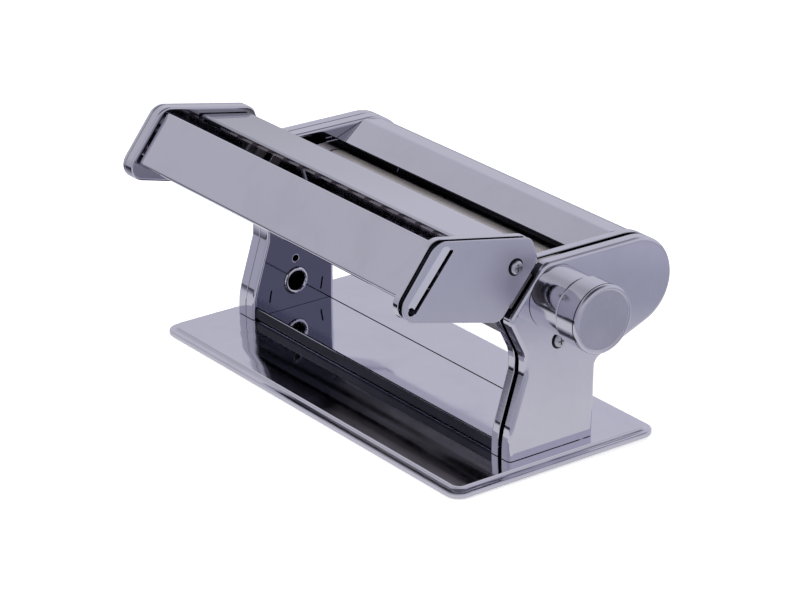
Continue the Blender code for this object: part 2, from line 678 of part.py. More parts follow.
def make_cutters(steel, gear_steel, head):
    rings = {
        "front": [k * RING_PITCH for k in range(-7, 8)],
        "rear": [(k + 0.5) * RING_PITCH for k in range(-7, 7)],
    }
    between = Vector(CUTTER_REAR_AXIS) - Vector(CUTTER_FRONT_AXIS)
    phases = {
        "front": roller_phase(between),
        "rear": roller_phase(-between) + math.pi / CUTTER_TEETH,
    }
    for name, place in (("front", CUTTER_FRONT_AXIS), ("rear", CUTTER_REAR_AXIS)):
        axis = pivot(f"{name}_cutter_axis", place, head)
        profile = cutter_profile(-107.4, 105.0, rings[name])
        finished(f"{name}_cutter", turned(profile, 12), steel, place, axis)
        radius = between.length / 2
        make_gear(f"{name}_cutter_gear", CUTTER_TEETH, radius, radius + 1.1, radius - 1.5,
                  phases[name], (-103.6, -107.0), CUTTER_JOURNAL_RADIUS + GAP, place, axis, gear_steel)
    socket = finished("cutter_crank_socket", turned(
        [(-113.4, CUTTER_SOCKET_RADIUS), (-107.8, CUTTER_SOCKET_RADIUS)], 20),
                      gear_steel, CUTTER_REAR_AXIS, bpy.data.objects["rear_cutter_axis"])
    cut(socket, turned([(-115.0, 4.0), (-109.0, 4.0)], 6), CUTTER_REAR_AXIS)


def on_slope(along, out):
    """A point measured up the slope and out from it."""
    point = Vector((0, *SLOPE_FOOT)) + SLOPE * along + SLOPE_OUT * out
    return (point.y, point.z)


def make_head_rails(steel, head):
    """A bar on each sloping edge of the body, and the head's shoe that slides down over it."""
    for side in ("left", "right"):
        near, far = mirrored(side, 101.2), mirrored(side, 105.2)
        bar = [on_slope(*p) for p in ((5, 0.4), (25, 0.4), (25, 5.2), (5, 5.2))]
        finished(f"{side}_head_rail", prism(bar, near, far), steel)
        outline = [on_slope(*p) for p in ((6, 1.2), (24, 1.2), (24, 7.4), (6, 7.4))]
        shoe = finished(f"head_{side}_shoe", prism(outline, mirrored(side, 99.2),
                                                   mirrored(side, 107.2)), steel, (0, 0), head)
        slot = [on_slope(*p) for p in ((0, -1), (30, -1), (30, 5.6), (0, 5.6))]
        cut(shoe, prism(slot, mirrored(side, 100.8), mirrored(side, 105.6)))


# ---------------------------------------------------------------- everything

def main():
    for obj in list(bpy.data.objects):
        bpy.data.objects.remove(obj, do_unlink=True)
    make_machine()
    chrome = material("polished_chrome", (0.62, 0.62, 0.68), 0.08)
    steel = material("plain_steel", (0.45, 0.44, 0.45), 0.32)
    gear_steel = material("gear_steel", (0.32, 0.32, 0.34), 0.4)
    bronze = material("bearing_bronze", (0.48, 0.35, 0.2), 0.4)
    rubber = material("black_rubber", (0.02, 0.02, 0.02), 0.8, 0.0)
    make_base(chrome, rubber)
    make_floor_tray(chrome)
    make_side_frames(chrome, steel)
    make_side_covers(chrome, steel)
    make_body_panels(chrome, steel)
    make_roller_guards(chrome)
    make_drive_roller(steel, gear_steel, bronze)
    make_front_roller(steel, gear_steel, bronze)
    make_setting_knob(chrome, steel, bronze)
    head = pivot("cutter_head_slide", on_slope(15, 5))
    make_head_caps(chrome, steel, head)
    make_head_panels(chrome, head)
    make_head_insides(steel, head)
    make_cutters(steel, gear_steel, head)
    make_head_rails(steel, head)


main()
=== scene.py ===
"""Looks of the hand-cranked pasta roller machine, built round its packed working model.

The sizes below are in millimetres and count from the middle of the base plate, with X
along the rollers towards the setting knob, -Y to the front and Z up from the floor. Each
piece is made there and then moved to the model's own frame, in metres.
"""

import math

import bmesh
import bpy
from bpy.props import FloatProperty, FloatVectorProperty, IntProperty, PointerProperty
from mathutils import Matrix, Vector


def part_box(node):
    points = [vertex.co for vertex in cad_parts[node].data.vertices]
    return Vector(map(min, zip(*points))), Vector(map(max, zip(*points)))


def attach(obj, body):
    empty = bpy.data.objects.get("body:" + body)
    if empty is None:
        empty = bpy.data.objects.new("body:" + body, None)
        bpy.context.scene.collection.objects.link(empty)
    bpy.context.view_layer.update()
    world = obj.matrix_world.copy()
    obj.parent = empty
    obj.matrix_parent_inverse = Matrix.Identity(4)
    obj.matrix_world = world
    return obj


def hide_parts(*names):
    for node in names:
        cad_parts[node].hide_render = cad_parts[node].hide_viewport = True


bl_info = {
    "name": "Pasta Roller Machine",
    "version": (1, 0, 0),
    "blender": (4, 5, 0),
    "location": "View3D > Sidebar > Pasta",
    "description": "Builds the finished look of a polished pasta roller machine",
    "category": "Object",
}

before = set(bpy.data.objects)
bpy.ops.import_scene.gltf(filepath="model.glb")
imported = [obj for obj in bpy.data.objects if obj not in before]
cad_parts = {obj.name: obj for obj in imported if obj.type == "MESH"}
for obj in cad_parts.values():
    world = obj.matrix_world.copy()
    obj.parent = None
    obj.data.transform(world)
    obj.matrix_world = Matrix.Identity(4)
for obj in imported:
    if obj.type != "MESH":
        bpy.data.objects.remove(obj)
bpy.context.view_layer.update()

MM = 0.001
BASE_LOW, BASE_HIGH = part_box("base_plate")
ORIGIN = Vector(((BASE_LOW.x + BASE_HIGH.x) / 2, (BASE_LOW.y + BASE_HIGH.y) / 2, 0))

GAP = 0.3             # clearance between pieces that touch
SHEET = 1.0           # thickness of the pressed steel

# Base
BASE_HALF_X = 120.0
BASE_HALF_Y = 60.0
BASE_CORNER = 8.0
BASE_TOP = 5.0
TRAY_FRONT_Y = -20.2
TRAY_REAR_Y = 27.0
TRAY_LIP_Z = 11.3
TRAY_BEAD_Y = (25.0, 25.9)

# End housings
INNER_X = 96.0
SEAM_X = 102.7
OUTER_X = 110.0
LEG_FRONT_Y = -21.5
LEG_REAR_Y = 28.2
FRAME_EDGE = 1.3      # radius of the inner frames' pressed edge
CLAMP_HOLE = (4.8, 20.5)
CLAMP_HOLE_RADIUS = 7.3
PIN_HOLE = (4.9, 32.4)
PIN_HOLE_RADIUS = 1.9
PIN_DIMPLE_RADIUS = 2.3
LEG_SLOTS_Y = (-11.0, 20.5)
LEG_SLOT_LOW = 12.0
LEG_SLOT_HIGH = 18.5
COVER_SCREW = (6.5, 58.9)
HOUSING_TOP = 97.8
NOSE = (51.5, 75.6)
NOSE_RADIUS = 22.2
SLOPE_FOOT = (-22.4, 74.5)
SLOPE_HEAD = (-1.8, 98.2)
HOPPER_ARCH = ((0.0, 91.0, 0), (0.0, 96.2, 1), (13.0, 96.2, 10), (29.0, 91.0, 0))
HOPPER_BACK_FOOT = (31.5, 46.4)
HOPPER_LEDGE = ((48.4, 97.55, 5), (31.0, 91.2, 0))
APRON_TOP = ((3.5, 93.9, 0), (-2.0, 96.2, 1.8))
GUARD_CORNERS = (
    (-5.0, 86.0, 0), (-5.0, 91.5, 2), (30.0, 91.5, 2), (37.0, 84.0, 2), (37.0, 67.0, 2),
    (-5.0, 67.0, 0.5))
GUARD_CLEAR = 0.4     # from a barrel's end to the guard plate
TIE_RODS = {"tie_rod_1": (-11.5, 64.0), "tie_rod_2": (30.0, 53.0), "tie_rod_3": (58.0, 68.0)}

# Screws
SHANK_RADIUS = 1.5
SCREW_HOLE_RADIUS = 1.9
COVER_SCREW_RADIUS = 3.3
CAP_SCREW_RADIUS = 3.2
RECESS_ARM = 1.75
RECESS_HALF_WIDTH = 0.38

# Rollers and knob
KNOB_AXIS = (4.2, 80.8)
FRONT_AXIS = (5.274, 80.559)
REAR_AXIS = (26.697, 75.752)
ROLLER_RADIUS = 10.8
BARREL_X = 92.8
DRIVE_JOURNAL = (4.5, -104.0, 99.6)     # radius, and where it ends at the left and right
FRONT_JOURNAL = (3.5, -103.6, 97.7)
DRIVE_HOLE_RADIUS = 7.3
CAM_HOLE_RADIUS = 8.8
SOCKET_WINDOW_RADIUS = 8.6
GUARD_HOLE_RADII = (7.5, 6.0)           # round the moving roller's journal and the driven one's
SHAFT_HOLE_RADIUS = 7.0
SHAFT_BORE = 5.4
BOSS_RADIUS = 15.4
BOSS_END_X = 129.2
KNOB_RADIUS = 16.4
KNOB_START_X = 129.8
KNOB_FACE_X = 144.0
KNOB_BEZEL = 1.7
KNOB_DISC_RADIUS = 13.8
KNOB_SPRING_BORE = (8.2, 133.6, 141.0)  # radius, and where it starts and ends

# Cutter head
CAP_OUTER_X = 113.0
CAP_SEAM_X = 110.9
CAP_INNER_X = 105.4
INNER_CAP_EDGE = 0.9
OUTER_CAP_EDGE = 0.4
OUTER_CAP_SHEET = 0.7
CAP_CORNERS = (
    (-65.5, 125.0, 8.4), (-12.5, 114.5, 6), (-8.8, 102.6, 5), (-30.4, 77.8, 6), (-90.0, 93.0, 7.6))
FRONT_PANEL = ((-60.6, 120.6, 0), (-63.6, 122.4, 1.3), (-80.9, 100.0, 1.3), (-78.0, 97.4, 0))
MIDDLE_PANEL = ((-14.6, 106.6, 0), (-14.6, 111.9, 2.5), (-44.5, 117.5, 1.3), (-43.7, 114.0, 0))
PANEL_CLEAR = 1.4     # from a cap's inner face to a panel's end
HEAD_BAR = (-30.0, 92.0)
CAP_SCREW = (-21.8, 102.6)
GROOVE_FOOT = (-79.6, 95.4)
GROOVE_HEAD = (-58.7, 120.5)
RECESS_HALF = 2.9     # half-widths of the groove's recess, painted bright as a highlight, and of the dark slit beside it
SLIT_HALF = 0.8
SLIT_END_RADIUS = 1.9
CUTTER_FRONT_AXIS = (-63.2, 104.2)
CUTTER_REAR_AXIS = (-47.9, 101.15)
CUTTER_RADIUS = 8.5
GROOVE_RADIUS = 6.7
RING_PITCH = 13.0
RING_WIDTH = 6.1
RING_CHAMFER = 0.05
CUTTER_JOURNAL = (3.8, -107.4, 105.0)
CUTTER_HOLE_RADIUS = 4.3
CUTTER_WINDOW_RADIUS = 6.6
CUTTER_BARREL_X = 98.0


# Stage, in metres: a ramp is its lowest and highest value and the colours between
# The floor's rings of grey and its dark patch are painted reflections: only the polish sees them
FLOOR_RINGS = (0.15, 0.40, (
    (0.0, (0.70, 0.69, 0.72)), (0.25, (0.64, 0.63, 0.68)), (0.48, (0.42, 0.43, 0.51)),
    (0.62, (0.43, 0.44, 0.52)), (0.78, (0.50, 0.50, 0.60)), (1.0, (0.46, 0.46, 0.54))))
DARK_PATCH = (-0.24, -0.33, 0)
DARK_PATCH_SPAN = (0.15, 0.24)
ROOM_DEPTH = (-1.0, 1.0, (
    (0.0, (0.45, 0.45, 0.50)), (0.25, (0.58, 0.575, 0.61)), (0.58, (0.66, 0.655, 0.69)),
    (0.78, (0.66, 0.655, 0.71)), (1.0, (0.72, 0.72, 0.78))))
ROOM_HEIGHT = (0.0, 1.0, (
    (0.0, (0.9, 0.9, 0.9)), (0.45, (1, 1, 1)), (0.66, (0.86, 0.86, 0.86)),
    (0.82, (0.30, 0.30, 0.32)), (1.0, (0.08, 0.08, 0.10))))
LAMPS = (
    ("key_light", (-0.5, -1.3, 1.5), 0.8, 0.8, 26.0),
    ("side_light", (1.6, 0.4, 1.2), 0.7, 0.7, 14.0),
    ("back_light", (-0.8, 1.5, 1.3), 1.0, 0.6, 14.0),
)


# ---------------------------------------------------------------- settings

class FinishSettings(bpy.types.PropertyGroup):
    """Colours and wear of the machine's metals and rubber."""
    chrome: FloatVectorProperty(
        name="Chrome", description="Colour of the polished sheet", subtype="COLOR",
        default=(0.66, 0.655, 0.74), min=0, max=1)
    # blue: painted shade and reflection, the inner plates' dark blue stands in for the shade inside the
    # housings
    blue: FloatVectorProperty(
        name="Inner plates", description="Colour of the housings' blue-tinged inner plates",
        subtype="COLOR", default=(0.145, 0.15, 0.21), min=0, max=1)
    # inside: also the colour of the painted shade on the sloping flanges, the tray's front and bead, the
    # screw seats and the knob's groove
    inside: FloatVectorProperty(
        name="Inside of the sheet", description="Colour of the duller inner faces", subtype="COLOR",
        default=(0.045, 0.045, 0.06), min=0, max=1)
    steel: FloatVectorProperty(
        name="Ground steel", description="Colour of the rollers and small steel parts",
        subtype="COLOR", default=(0.42, 0.39, 0.39), min=0, max=1)
    gear: FloatVectorProperty(
        name="Gear steel", description="Colour of the oiled gears and sockets", subtype="COLOR",
        default=(0.20, 0.20, 0.22), min=0, max=1)
    bronze: FloatVectorProperty(
        name="Bearing bronze", description="Colour of the bushes and cams", subtype="COLOR",
        default=(0.45, 0.31, 0.16), min=0, max=1)
    rubber: FloatVectorProperty(
        name="Rubber", description="Colour of the feet", subtype="COLOR",
        default=(0.018, 0.018, 0.019), min=0, max=1)
    polish: FloatProperty(
        name="Polish roughness", description="Roughness of the clean polished sheet",
        default=0.045, min=0, max=1, subtype="FACTOR")
    smudge: FloatProperty(
        name="Smudges", description="How much handling has dulled the polish",
        default=0.35, min=0, max=1, subtype="FACTOR")
    waviness: FloatProperty(
        name="Sheet waviness", description="How far the pressed sheet bends its reflections",
        default=0.10, min=0, max=1, subtype="FACTOR")


class ShapeSettings(bpy.types.PropertyGroup):
    """Fineness and edge sizes of the made pieces, in millimetres."""
    arc_step: FloatProperty(
        name="Arc step", description="Degrees between points on a rounded corner",
        default=5.0, min=1, max=30)
    cover_edge: FloatProperty(
        name="Cover edge", description="Radius of the covers' pressed edge, in millimetres",
        default=2.0, min=0.5, max=5)
    seam: FloatProperty(
        name="Seam", description="Width of the dark seam between two shells, in millimetres",
        default=2.8, min=0.3, max=4)
    far_seam: FloatProperty(
        name="Far seam", description="Width of the tighter seams on the crank's side, in millimetres",
        default=0.3, min=0.1, max=2)
    round_segments: IntProperty(
        name="Round segments", description="Sides of the turned pieces", default=96, min=24, max=256)


class StageSettings(bpy.types.PropertyGroup):
    """Floor, light and camera."""
    lens: FloatProperty(
        name="Lens", description="Focal length, in millimetres", default=145.5, min=20, max=300)
    azimuth: FloatProperty(
        name="Azimuth", description="Camera's turn from the front towards the knob, in degrees",
        default=53.19)
    elevation: FloatProperty(
        name="Elevation", description="Camera's height above the horizon, in degrees", default=22.84)
    distance: FloatProperty(
        name="Distance", description="Camera's distance, in metres", default=1.5688, unit="LENGTH")
    aim_right: FloatProperty(
        name="Aim to the right", default=-1.05,
        description="Where the camera looks, across from the base's middle, in millimetres")
    aim_up: FloatProperty(
        name="Aim up", default=39.76,
        description="Where the camera looks, up from the base's middle, in millimetres")
    room: FloatVectorProperty(
        name="Room", description="Colour of the light that the polish reflects", subtype="COLOR",
        default=(1.0, 1.0, 1.02), min=0, max=2)


# ---------------------------------------------------------------- outlines in Y and Z

def quarter(count):
    """Angles from 0 to a right angle."""
    return [math.pi / 2 * k / count for k in range(count + 1)]


def arc(centre, radius, start, end, step=None):
    """Points on an arc between two angles in degrees."""
    step = step or bpy.context.scene.pasta_shape.arc_step
    count = max(2, math.ceil(abs(end - start) / step))
    angles = [math.radians(start + (end - start) * i / count) for i in range(count + 1)]
    return [(centre[0] + radius * math.cos(a), centre[1] + radius * math.sin(a)) for a in angles]


def filleted(corners, closed=False):
    """A line through (y, z, radius) corners, with each corner that has a radius rounded."""
    step = bpy.context.scene.pasta_shape.arc_step
    count = len(corners)
    points = []
    for i, (y, z, radius) in enumerate(corners):
        here = Vector((y, z))
        if radius == 0 or (not closed and i in (0, count - 1)):
            points.append((y, z))
            continue
        before = (Vector(corners[i - 1][:2]) - here).normalized()
        after = (Vector(corners[(i + 1) % count][:2]) - here).normalized()
        half = before.angle(after) / 2
        middle = here + (before + after).normalized() * radius / math.sin(half)
        first = (here + before * radius / math.tan(half) - middle).normalized()
        last = (here + after * radius / math.tan(half) - middle).normalized()
        steps = max(2, math.ceil(math.degrees(first.angle(last)) / step))
        points += [tuple(middle + first.slerp(last, k / steps) * radius) for k in range(steps + 1)]
    return points


def housing_outline():
    """The side housing: a foot, a waist, a sloping front and a round nose at the rear."""
    front = filleted([
        (LEG_FRONT_Y, BASE_TOP + GAP, 0),
        (LEG_FRONT_Y + 0.1, 16.0, 40),
        (-12.4, 45.0, 0),
        (-12.0, 54.0, 16),
        (*SLOPE_FOOT, 4.5),
        (*SLOPE_HEAD, 6),
        (NOSE[0], HOUSING_TOP, 0),
    ])
    nose = arc(NOSE, NOSE_RADIUS, 90, -69)
    rear = filleted([(*nose[-1], 0), (LEG_REAR_Y + 0.6, 43.0, 5), (LEG_REAR_Y, BASE_TOP + GAP, 0)])
    return front[:-1] + nose + rear[1:]


def inset(outline, distance, closed):
    """The outline moved inward (to its right); an open one's ends slide level, along the base."""
    count = len(outline)
    moved = []
    for i, here in enumerate(outline):
        here = Vector(here)
        normals = []
        for first, second in ((i - 1, i), (i, i + 1)):
            if closed or (first >= 0 and second < count):
                run = Vector(outline[second % count]) - Vector(outline[first % count])
                normals.append(Vector((run.y, -run.x)).normalized())
        mean = (normals[0] + normals[-1]).normalized()
        if len(normals) == 1:
            moved.append((here.x + distance / normals[0].x, here.y))
        else:
            moved.append(tuple(here + mean * distance / max(mean.dot(normals[0]), 0.5)))
    return moved


def band(path, thickness):
    """The closed outline of a sheet whose one face follows the path."""
    other = []
    for i, point in enumerate(path):
        point = Vector(point)
        runs = [point - Vector(before) for before in path[max(i - 1, 0):i]]
        runs += [Vector(after) - point for after in path[i + 1:i + 2]]
        normals = [Vector((-run.y, run.x)).normalized() for run in runs]
        mean = (normals[0] + normals[-1]).normalized()
        other.append(tuple(point + mean * thickness / max(mean.dot(normals[0]), 0.5)))
    return [tuple(p) for p in path] + other[::-1]


# ---------------------------------------------------------------- meshes

def ring(bm, x, outline):
    """A loop of points along the outline, at one X."""
    return [bm.verts.new((x, y, z)) for y, z in outline]


def skin(bm, loops, closed, material=0):
    """Joins each loop of points to the next with quads."""
    for here, there in zip(loops, loops[1:]):
        count = len(here)
        for i in range(count if closed else count - 1):
            j = (i + 1) % count
            bm.faces.new((here[i], here[j], there[j], there[i])).material_index = material


def shell(outline, closed, outer, inner, plate_finish=0):
    """A pressed shell. outer and inner are (x, inset) steps, from the rim to the plate and back."""
    bm = bmesh.new()
    outside = [ring(bm, x, inset(outline, d, closed)) for x, d in outer]
    within = [ring(bm, x, inset(outline, d, closed)) for x, d in inner]
    skin(bm, outside, closed)
    bm.faces.new(outside[-1]).material_index = plate_finish
    skin(bm, within, closed, 1)
    bm.faces.new(within[0]).material_index = 1
    skin(bm, [within[-1], outside[0]], closed)
    if not closed:
        chain = outside + within
        front = [loop[0] for loop in chain]
        rear = [loop[-1] for loop in chain]
        turn = len(outside)
        bm.faces.new(front[:turn] + rear[:turn][::-1] + rear[turn:][::-1] + front[turn:])
    bmesh.ops.recalc_face_normals(bm, faces=bm.faces)
    return bm


def back_steps(plate, rim):
    """(x, inset) steps of an inner shell's hidden side, from its plate to its rim."""
    sign = math.copysign(1, rim - plate)
    return [(plate + sign * SHEET, 1.9), (plate + sign * (SHEET + 0.5), 1.1), (rim, 1.0)]


def edge_steps(rim, plate, radius, count=7):
    """(x, inset) steps from a rim round a quarter-circle edge to a plate."""
    sign = math.copysign(1, plate - rim)
    steps = [(rim + sign * 0.3, 0.0)]
    for k in range(count + 1):
        angle = math.radians(90 * k / count)
        steps.append((plate - sign * radius * (1 - math.sin(angle)), radius * (1 - math.cos(angle))))
    return [(rim, 0.25)] + steps + [(plate, radius + 0.4)]


def prism(outline, x0, x1, inner_from=None):
    """The outline drawn out along X; side faces from inner_from on get the second finish."""
    bm = bmesh.new()
    near, far = ring(bm, x0, outline), ring(bm, x1, outline)
    skin(bm, [near, far], True)
    if inner_from is not None:
        bm.faces.ensure_lookup_table()
        for face in bm.faces[inner_from:]:
            face.material_index = 1
    bm.faces.new(near)
    bm.faces.new(far)
    bmesh.ops.recalc_face_normals(bm, faces=bm.faces)
    return bm


def turned(profile, axis, segments=None, closed=False):
    """A profile of (x, radius) points spun about the X line through axis."""
    segments = segments or bpy.context.scene.pasta_shape.round_segments
    bm = bmesh.new()
    loops = []
    for x, radius in profile:
        if radius == 0:
            loops.append([bm.verts.new((x, *axis))])
            continue
        angles = [2 * math.pi * k / segments for k in range(segments)]
        loops.append([
            bm.verts.new((x, axis[0] + radius * math.cos(a), axis[1] + radius * math.sin(a)))
            for a in angles
        ])
    if closed:
        loops.append(loops[0])
    for here, there in zip(loops, loops[1:]):
        for k in range(segments):
            m = (k + 1) % segments
            corners = [
                here[k % len(here)], here[m % len(here)], there[m % len(there)], there[k % len(there)]]
            kept = list(dict.fromkeys(corners))
            if len(kept) > 2:
                bm.faces.new(kept)
    if not closed:
        for end in (loops[0], loops[-1]):
            if len(end) > 1:
                bm.faces.new(end)
    bmesh.ops.recalc_face_normals(bm, faces=bm.faces)
    return bm


def rounded(profile, radius, closed=False):
    """A turned profile with its sharp corners eased by the radius."""
    corners = [(x, r, 0 if r == 0 else radius) for x, r in profile]
    return filleted(corners, closed)


def block(low, high):
    """A box between two corners."""
    bm = bmesh.new()
    made = bmesh.ops.create_cube(bm, size=1)["verts"]
    size = Vector(high) - Vector(low)
    bmesh.ops.scale(bm, vec=size, verts=made)
    bmesh.ops.translate(bm, vec=(Vector(high) + Vector(low)) / 2, verts=made)
    return bm


def new_object(name, bm, finishes):
    """An object of the shape, brought from the sizes' millimetres to the model's frame."""
    bmesh.ops.scale(bm, vec=(MM, MM, MM), verts=bm.verts)
    bmesh.ops.translate(bm, vec=ORIGIN, verts=bm.verts)
    mesh = bpy.data.meshes.new(name)
    bm.to_mesh(mesh)
    bm.free()
    for finish in finishes:
        mesh.materials.append(finish)
    obj = bpy.data.objects.new(name, mesh)
    bpy.context.scene.collection.objects.link(obj)
    return obj


def cut_away(obj, shapes):
    """Takes the shapes away from the object and keeps the result as its mesh."""
    cutters = [new_object(f"{obj.name}_cutter", shape, obj.data.materials) for shape in shapes]
    for cutter in cutters:
        boolean = obj.modifiers.new("cut", "BOOLEAN")
        boolean.operation = "DIFFERENCE"
        boolean.solver = "EXACT"
        boolean.object = cutter
    graph = bpy.context.evaluated_depsgraph_get()
    result = bpy.data.meshes.new_from_object(obj.evaluated_get(graph))
    obj.modifiers.clear()
    obj.data = result
    for cutter in cutters:
        bpy.data.objects.remove(cutter)


def piece(name, bm, finishes, body, nodes=(), cutters=(), crease=32, bevel=0.0):
    """Makes a finished piece that rides on its body and stands for the named model nodes."""
    obj = new_object(name, bm, finishes)
    if cutters:
        cut_away(obj, cutters)
    obj.data.shade_smooth()
    if bevel:
        edge = obj.modifiers.new("eased_edges", "BEVEL")
        edge.width = bevel * MM
        edge.segments = 3
        edge.limit_method = "ANGLE"
        edge.angle_limit = math.radians(crease)
        edge.use_clamp_overlap = True
        edge.miter_outer = "MITER_ARC"
    else:
        obj.data.set_sharp_from_angle(angle=math.radians(crease))
    shading = obj.modifiers.new("flat_faces", "WEIGHTED_NORMAL")
    shading.keep_sharp = True
    shading.weight = 100
    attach(obj, body)
    if nodes:
        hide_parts(*nodes)
    return obj


# ---------------------------------------------------------------- shader parts

def add(tree, kind, inputs=None, **settings):
    """A node with its settings, and each input given a value or a link."""
    made = tree.nodes.new(kind)
    for key, value in settings.items():
        setattr(made, key, value)
    for key, value in (inputs or {}).items():
        named = [socket for socket in made.inputs if socket.enabled and socket.name == key]
        socket = named[0] if named else made.inputs[key]
        if isinstance(value, bpy.types.NodeSocket):
            tree.links.new(value, socket)
        else:
            socket.default_value = value
    return made


def maths(tree, operation, first, second=0.0, third=0.0):
    inputs = {0: first, 1: second, 2: third}
    return add(tree, "ShaderNodeMath", inputs, operation=operation).outputs[0]


def group(name, inputs, outputs):
    """A new shader group with float or vector inputs, and its input and output nodes."""
    tree = bpy.data.node_groups.new(name, "ShaderNodeTree")
    for socket, (kind, value) in inputs.items():
        made = tree.interface.new_socket(socket, in_out="INPUT", socket_type=kind)
        made.default_value = value
    for socket, kind in outputs.items():
        tree.interface.new_socket(socket, in_out="OUTPUT", socket_type=kind)
    return tree, tree.nodes.new("NodeGroupInput").outputs, tree.nodes.new("NodeGroupOutput")


def make_polish_group():
    """Pressed and buffed sheet: long waves in the reflections, hairlines and smudges."""
    tree, given, result = group("buffed sheet", {
        "Roughness": ("NodeSocketFloat", 0.05), "Smudge": ("NodeSocketFloat", 0.3),
        "Waviness": ("NodeSocketFloat", 0.1), "Streaks": ("NodeSocketFloat", 0.0),
    }, {"Roughness": "NodeSocketFloat", "Smudge": "NodeSocketFloat", "Normal": "NodeSocketVector"})
    place = add(tree, "ShaderNodeTexCoord").outputs["Object"]
    waves = add(tree, "ShaderNodeTexNoise", {"Vector": place, "Scale": 16.0, "Detail": 1.0})
    wavy = add(tree, "ShaderNodeBump", {
        "Strength": given["Waviness"], "Distance": 0.0012, "Height": waves.outputs["Fac"]})
    length = add(tree, "ShaderNodeMapping", {"Vector": place, "Scale": (2.0, 42.0, 42.0)})
    rolls = add(tree, "ShaderNodeTexNoise", {"Vector": length.outputs[0], "Scale": 1.0, "Detail": 1.5})
    rolled = add(tree, "ShaderNodeBump", {
        "Strength": given["Streaks"], "Distance": 0.004, "Height": rolls.outputs["Fac"],
        "Normal": wavy.outputs[0]})
    along = add(tree, "ShaderNodeMapping", {"Vector": place, "Scale": (60.0, 1500.0, 1500.0)})
    hairs = add(tree, "ShaderNodeTexNoise", {"Vector": along.outputs[0], "Scale": 1.0, "Detail": 3.0})
    buffed = add(tree, "ShaderNodeBump", {
        "Strength": 0.03, "Distance": 0.00004, "Height": hairs.outputs["Fac"],
        "Normal": rolled.outputs[0]})
    cloud = add(tree, "ShaderNodeTexNoise", {
        "Vector": place, "Scale": 38.0, "Detail": 5.0, "Roughness": 0.62, "Distortion": 0.4})
    mask = add(tree, "ShaderNodeMapRange", {
        "Value": cloud.outputs["Fac"], "From Min": 0.46, "From Max": 0.74})
    smudge = maths(tree, "MULTIPLY", mask.outputs[0], given["Smudge"])
    rough = maths(tree, "MULTIPLY_ADD", smudge, 0.16, given["Roughness"])
    tree.links.new(rough, result.inputs["Roughness"])
    tree.links.new(smudge, result.inputs["Smudge"])
    tree.links.new(buffed.outputs[0], result.inputs["Normal"])
    return tree


def make_turned_group():
    """Lathe and grinding marks that run round a line along X through a given point."""
    tree, given, result = group("turned marks", {
        "Axis": ("NodeSocketVector", (0, 0, 0)), "Roughness": ("NodeSocketFloat", 0.2),
        "Depth": ("NodeSocketFloat", 0.2), "Fineness": ("NodeSocketFloat", 2400.0),
    }, {"Roughness": "NodeSocketFloat", "Marks": "NodeSocketFloat", "Normal": "NodeSocketVector"})
    place = add(tree, "ShaderNodeTexCoord").outputs["Object"]
    offset = add(tree, "ShaderNodeVectorMath", {0: place, 1: given["Axis"]}, operation="SUBTRACT")
    parts = add(tree, "ShaderNodeSeparateXYZ", {0: offset.outputs[0]})
    spoke = add(tree, "ShaderNodeCombineXYZ", {"Y": parts.outputs["Y"], "Z": parts.outputs["Z"]})
    radius = add(tree, "ShaderNodeVectorMath", {0: spoke.outputs[0]}, operation="LENGTH")
    flat = add(tree, "ShaderNodeCombineXYZ", {"X": parts.outputs["X"], "Y": radius.outputs["Value"]})
    lines = add(tree, "ShaderNodeTexNoise", {
        "Vector": flat.outputs[0], "Scale": given["Fineness"], "Detail": 3.0}, noise_dimensions="2D")
    patches = add(tree, "ShaderNodeTexNoise", {"Vector": place, "Scale": 45.0, "Detail": 4.0})
    bump = add(tree, "ShaderNodeBump", {
        "Strength": given["Depth"], "Distance": 0.00006, "Height": lines.outputs["Fac"]})
    rough = maths(tree, "MULTIPLY_ADD", patches.outputs["Fac"], 0.12, given["Roughness"])
    tree.links.new(rough, result.inputs["Roughness"])
    tree.links.new(lines.outputs["Fac"], result.inputs["Marks"])
    tree.links.new(bump.outputs[0], result.inputs["Normal"])
    return tree


def make_grime_group():
    """Oil film, stains and dust in broad patches, as a mask from 0 to 1."""
    tree, given, result = group("grime", {
        "Size": ("NodeSocketFloat", 60.0), "Amount": ("NodeSocketFloat", 0.4),
    }, {"Mask": "NodeSocketFloat"})
    place = add(tree, "ShaderNodeTexCoord").outputs["Object"]
    stains = add(tree, "ShaderNodeTexNoise", {
        "Vector": place, "Scale": given["Size"], "Detail": 6.0, "Roughness": 0.68})
    mask = add(tree, "ShaderNodeMapRange", {
        "Value": stains.outputs["Fac"], "From Min": 0.42, "From Max": 0.7})
    tree.links.new(maths(tree, "MULTIPLY", mask.outputs[0], given["Amount"]), result.inputs["Mask"])
    return tree


def place_group(tree, maker, name, **inputs):
    """The outputs of a shared group placed in the tree; the maker makes it the first time."""
    made = tree.nodes.new("ShaderNodeGroup")
    made.node_tree = bpy.data.node_groups.get(name) or maker()
    for key, value in inputs.items():
        made.inputs[key].default_value = value
    return made.outputs


def blank(name, metallic):
    """A new material, its node tree and its Principled shader."""
    made = bpy.data.materials.new(name)
    made.use_nodes = True
    shader = made.node_tree.nodes["Principled BSDF"]
    shader.inputs["Metallic"].default_value = metallic
    return made, made.node_tree, shader


def tinted(tree, shader, colour, other, mask):
    """Mixes two colours by a mask into the shader's base colour."""
    inputs = {"Factor": mask, "A": (*colour, 1), "B": (*other, 1)}
    mix = add(tree, "ShaderNodeMix", inputs, data_type="RGBA")
    tree.links.new(mix.outputs["Result"], shader.inputs["Base Color"])


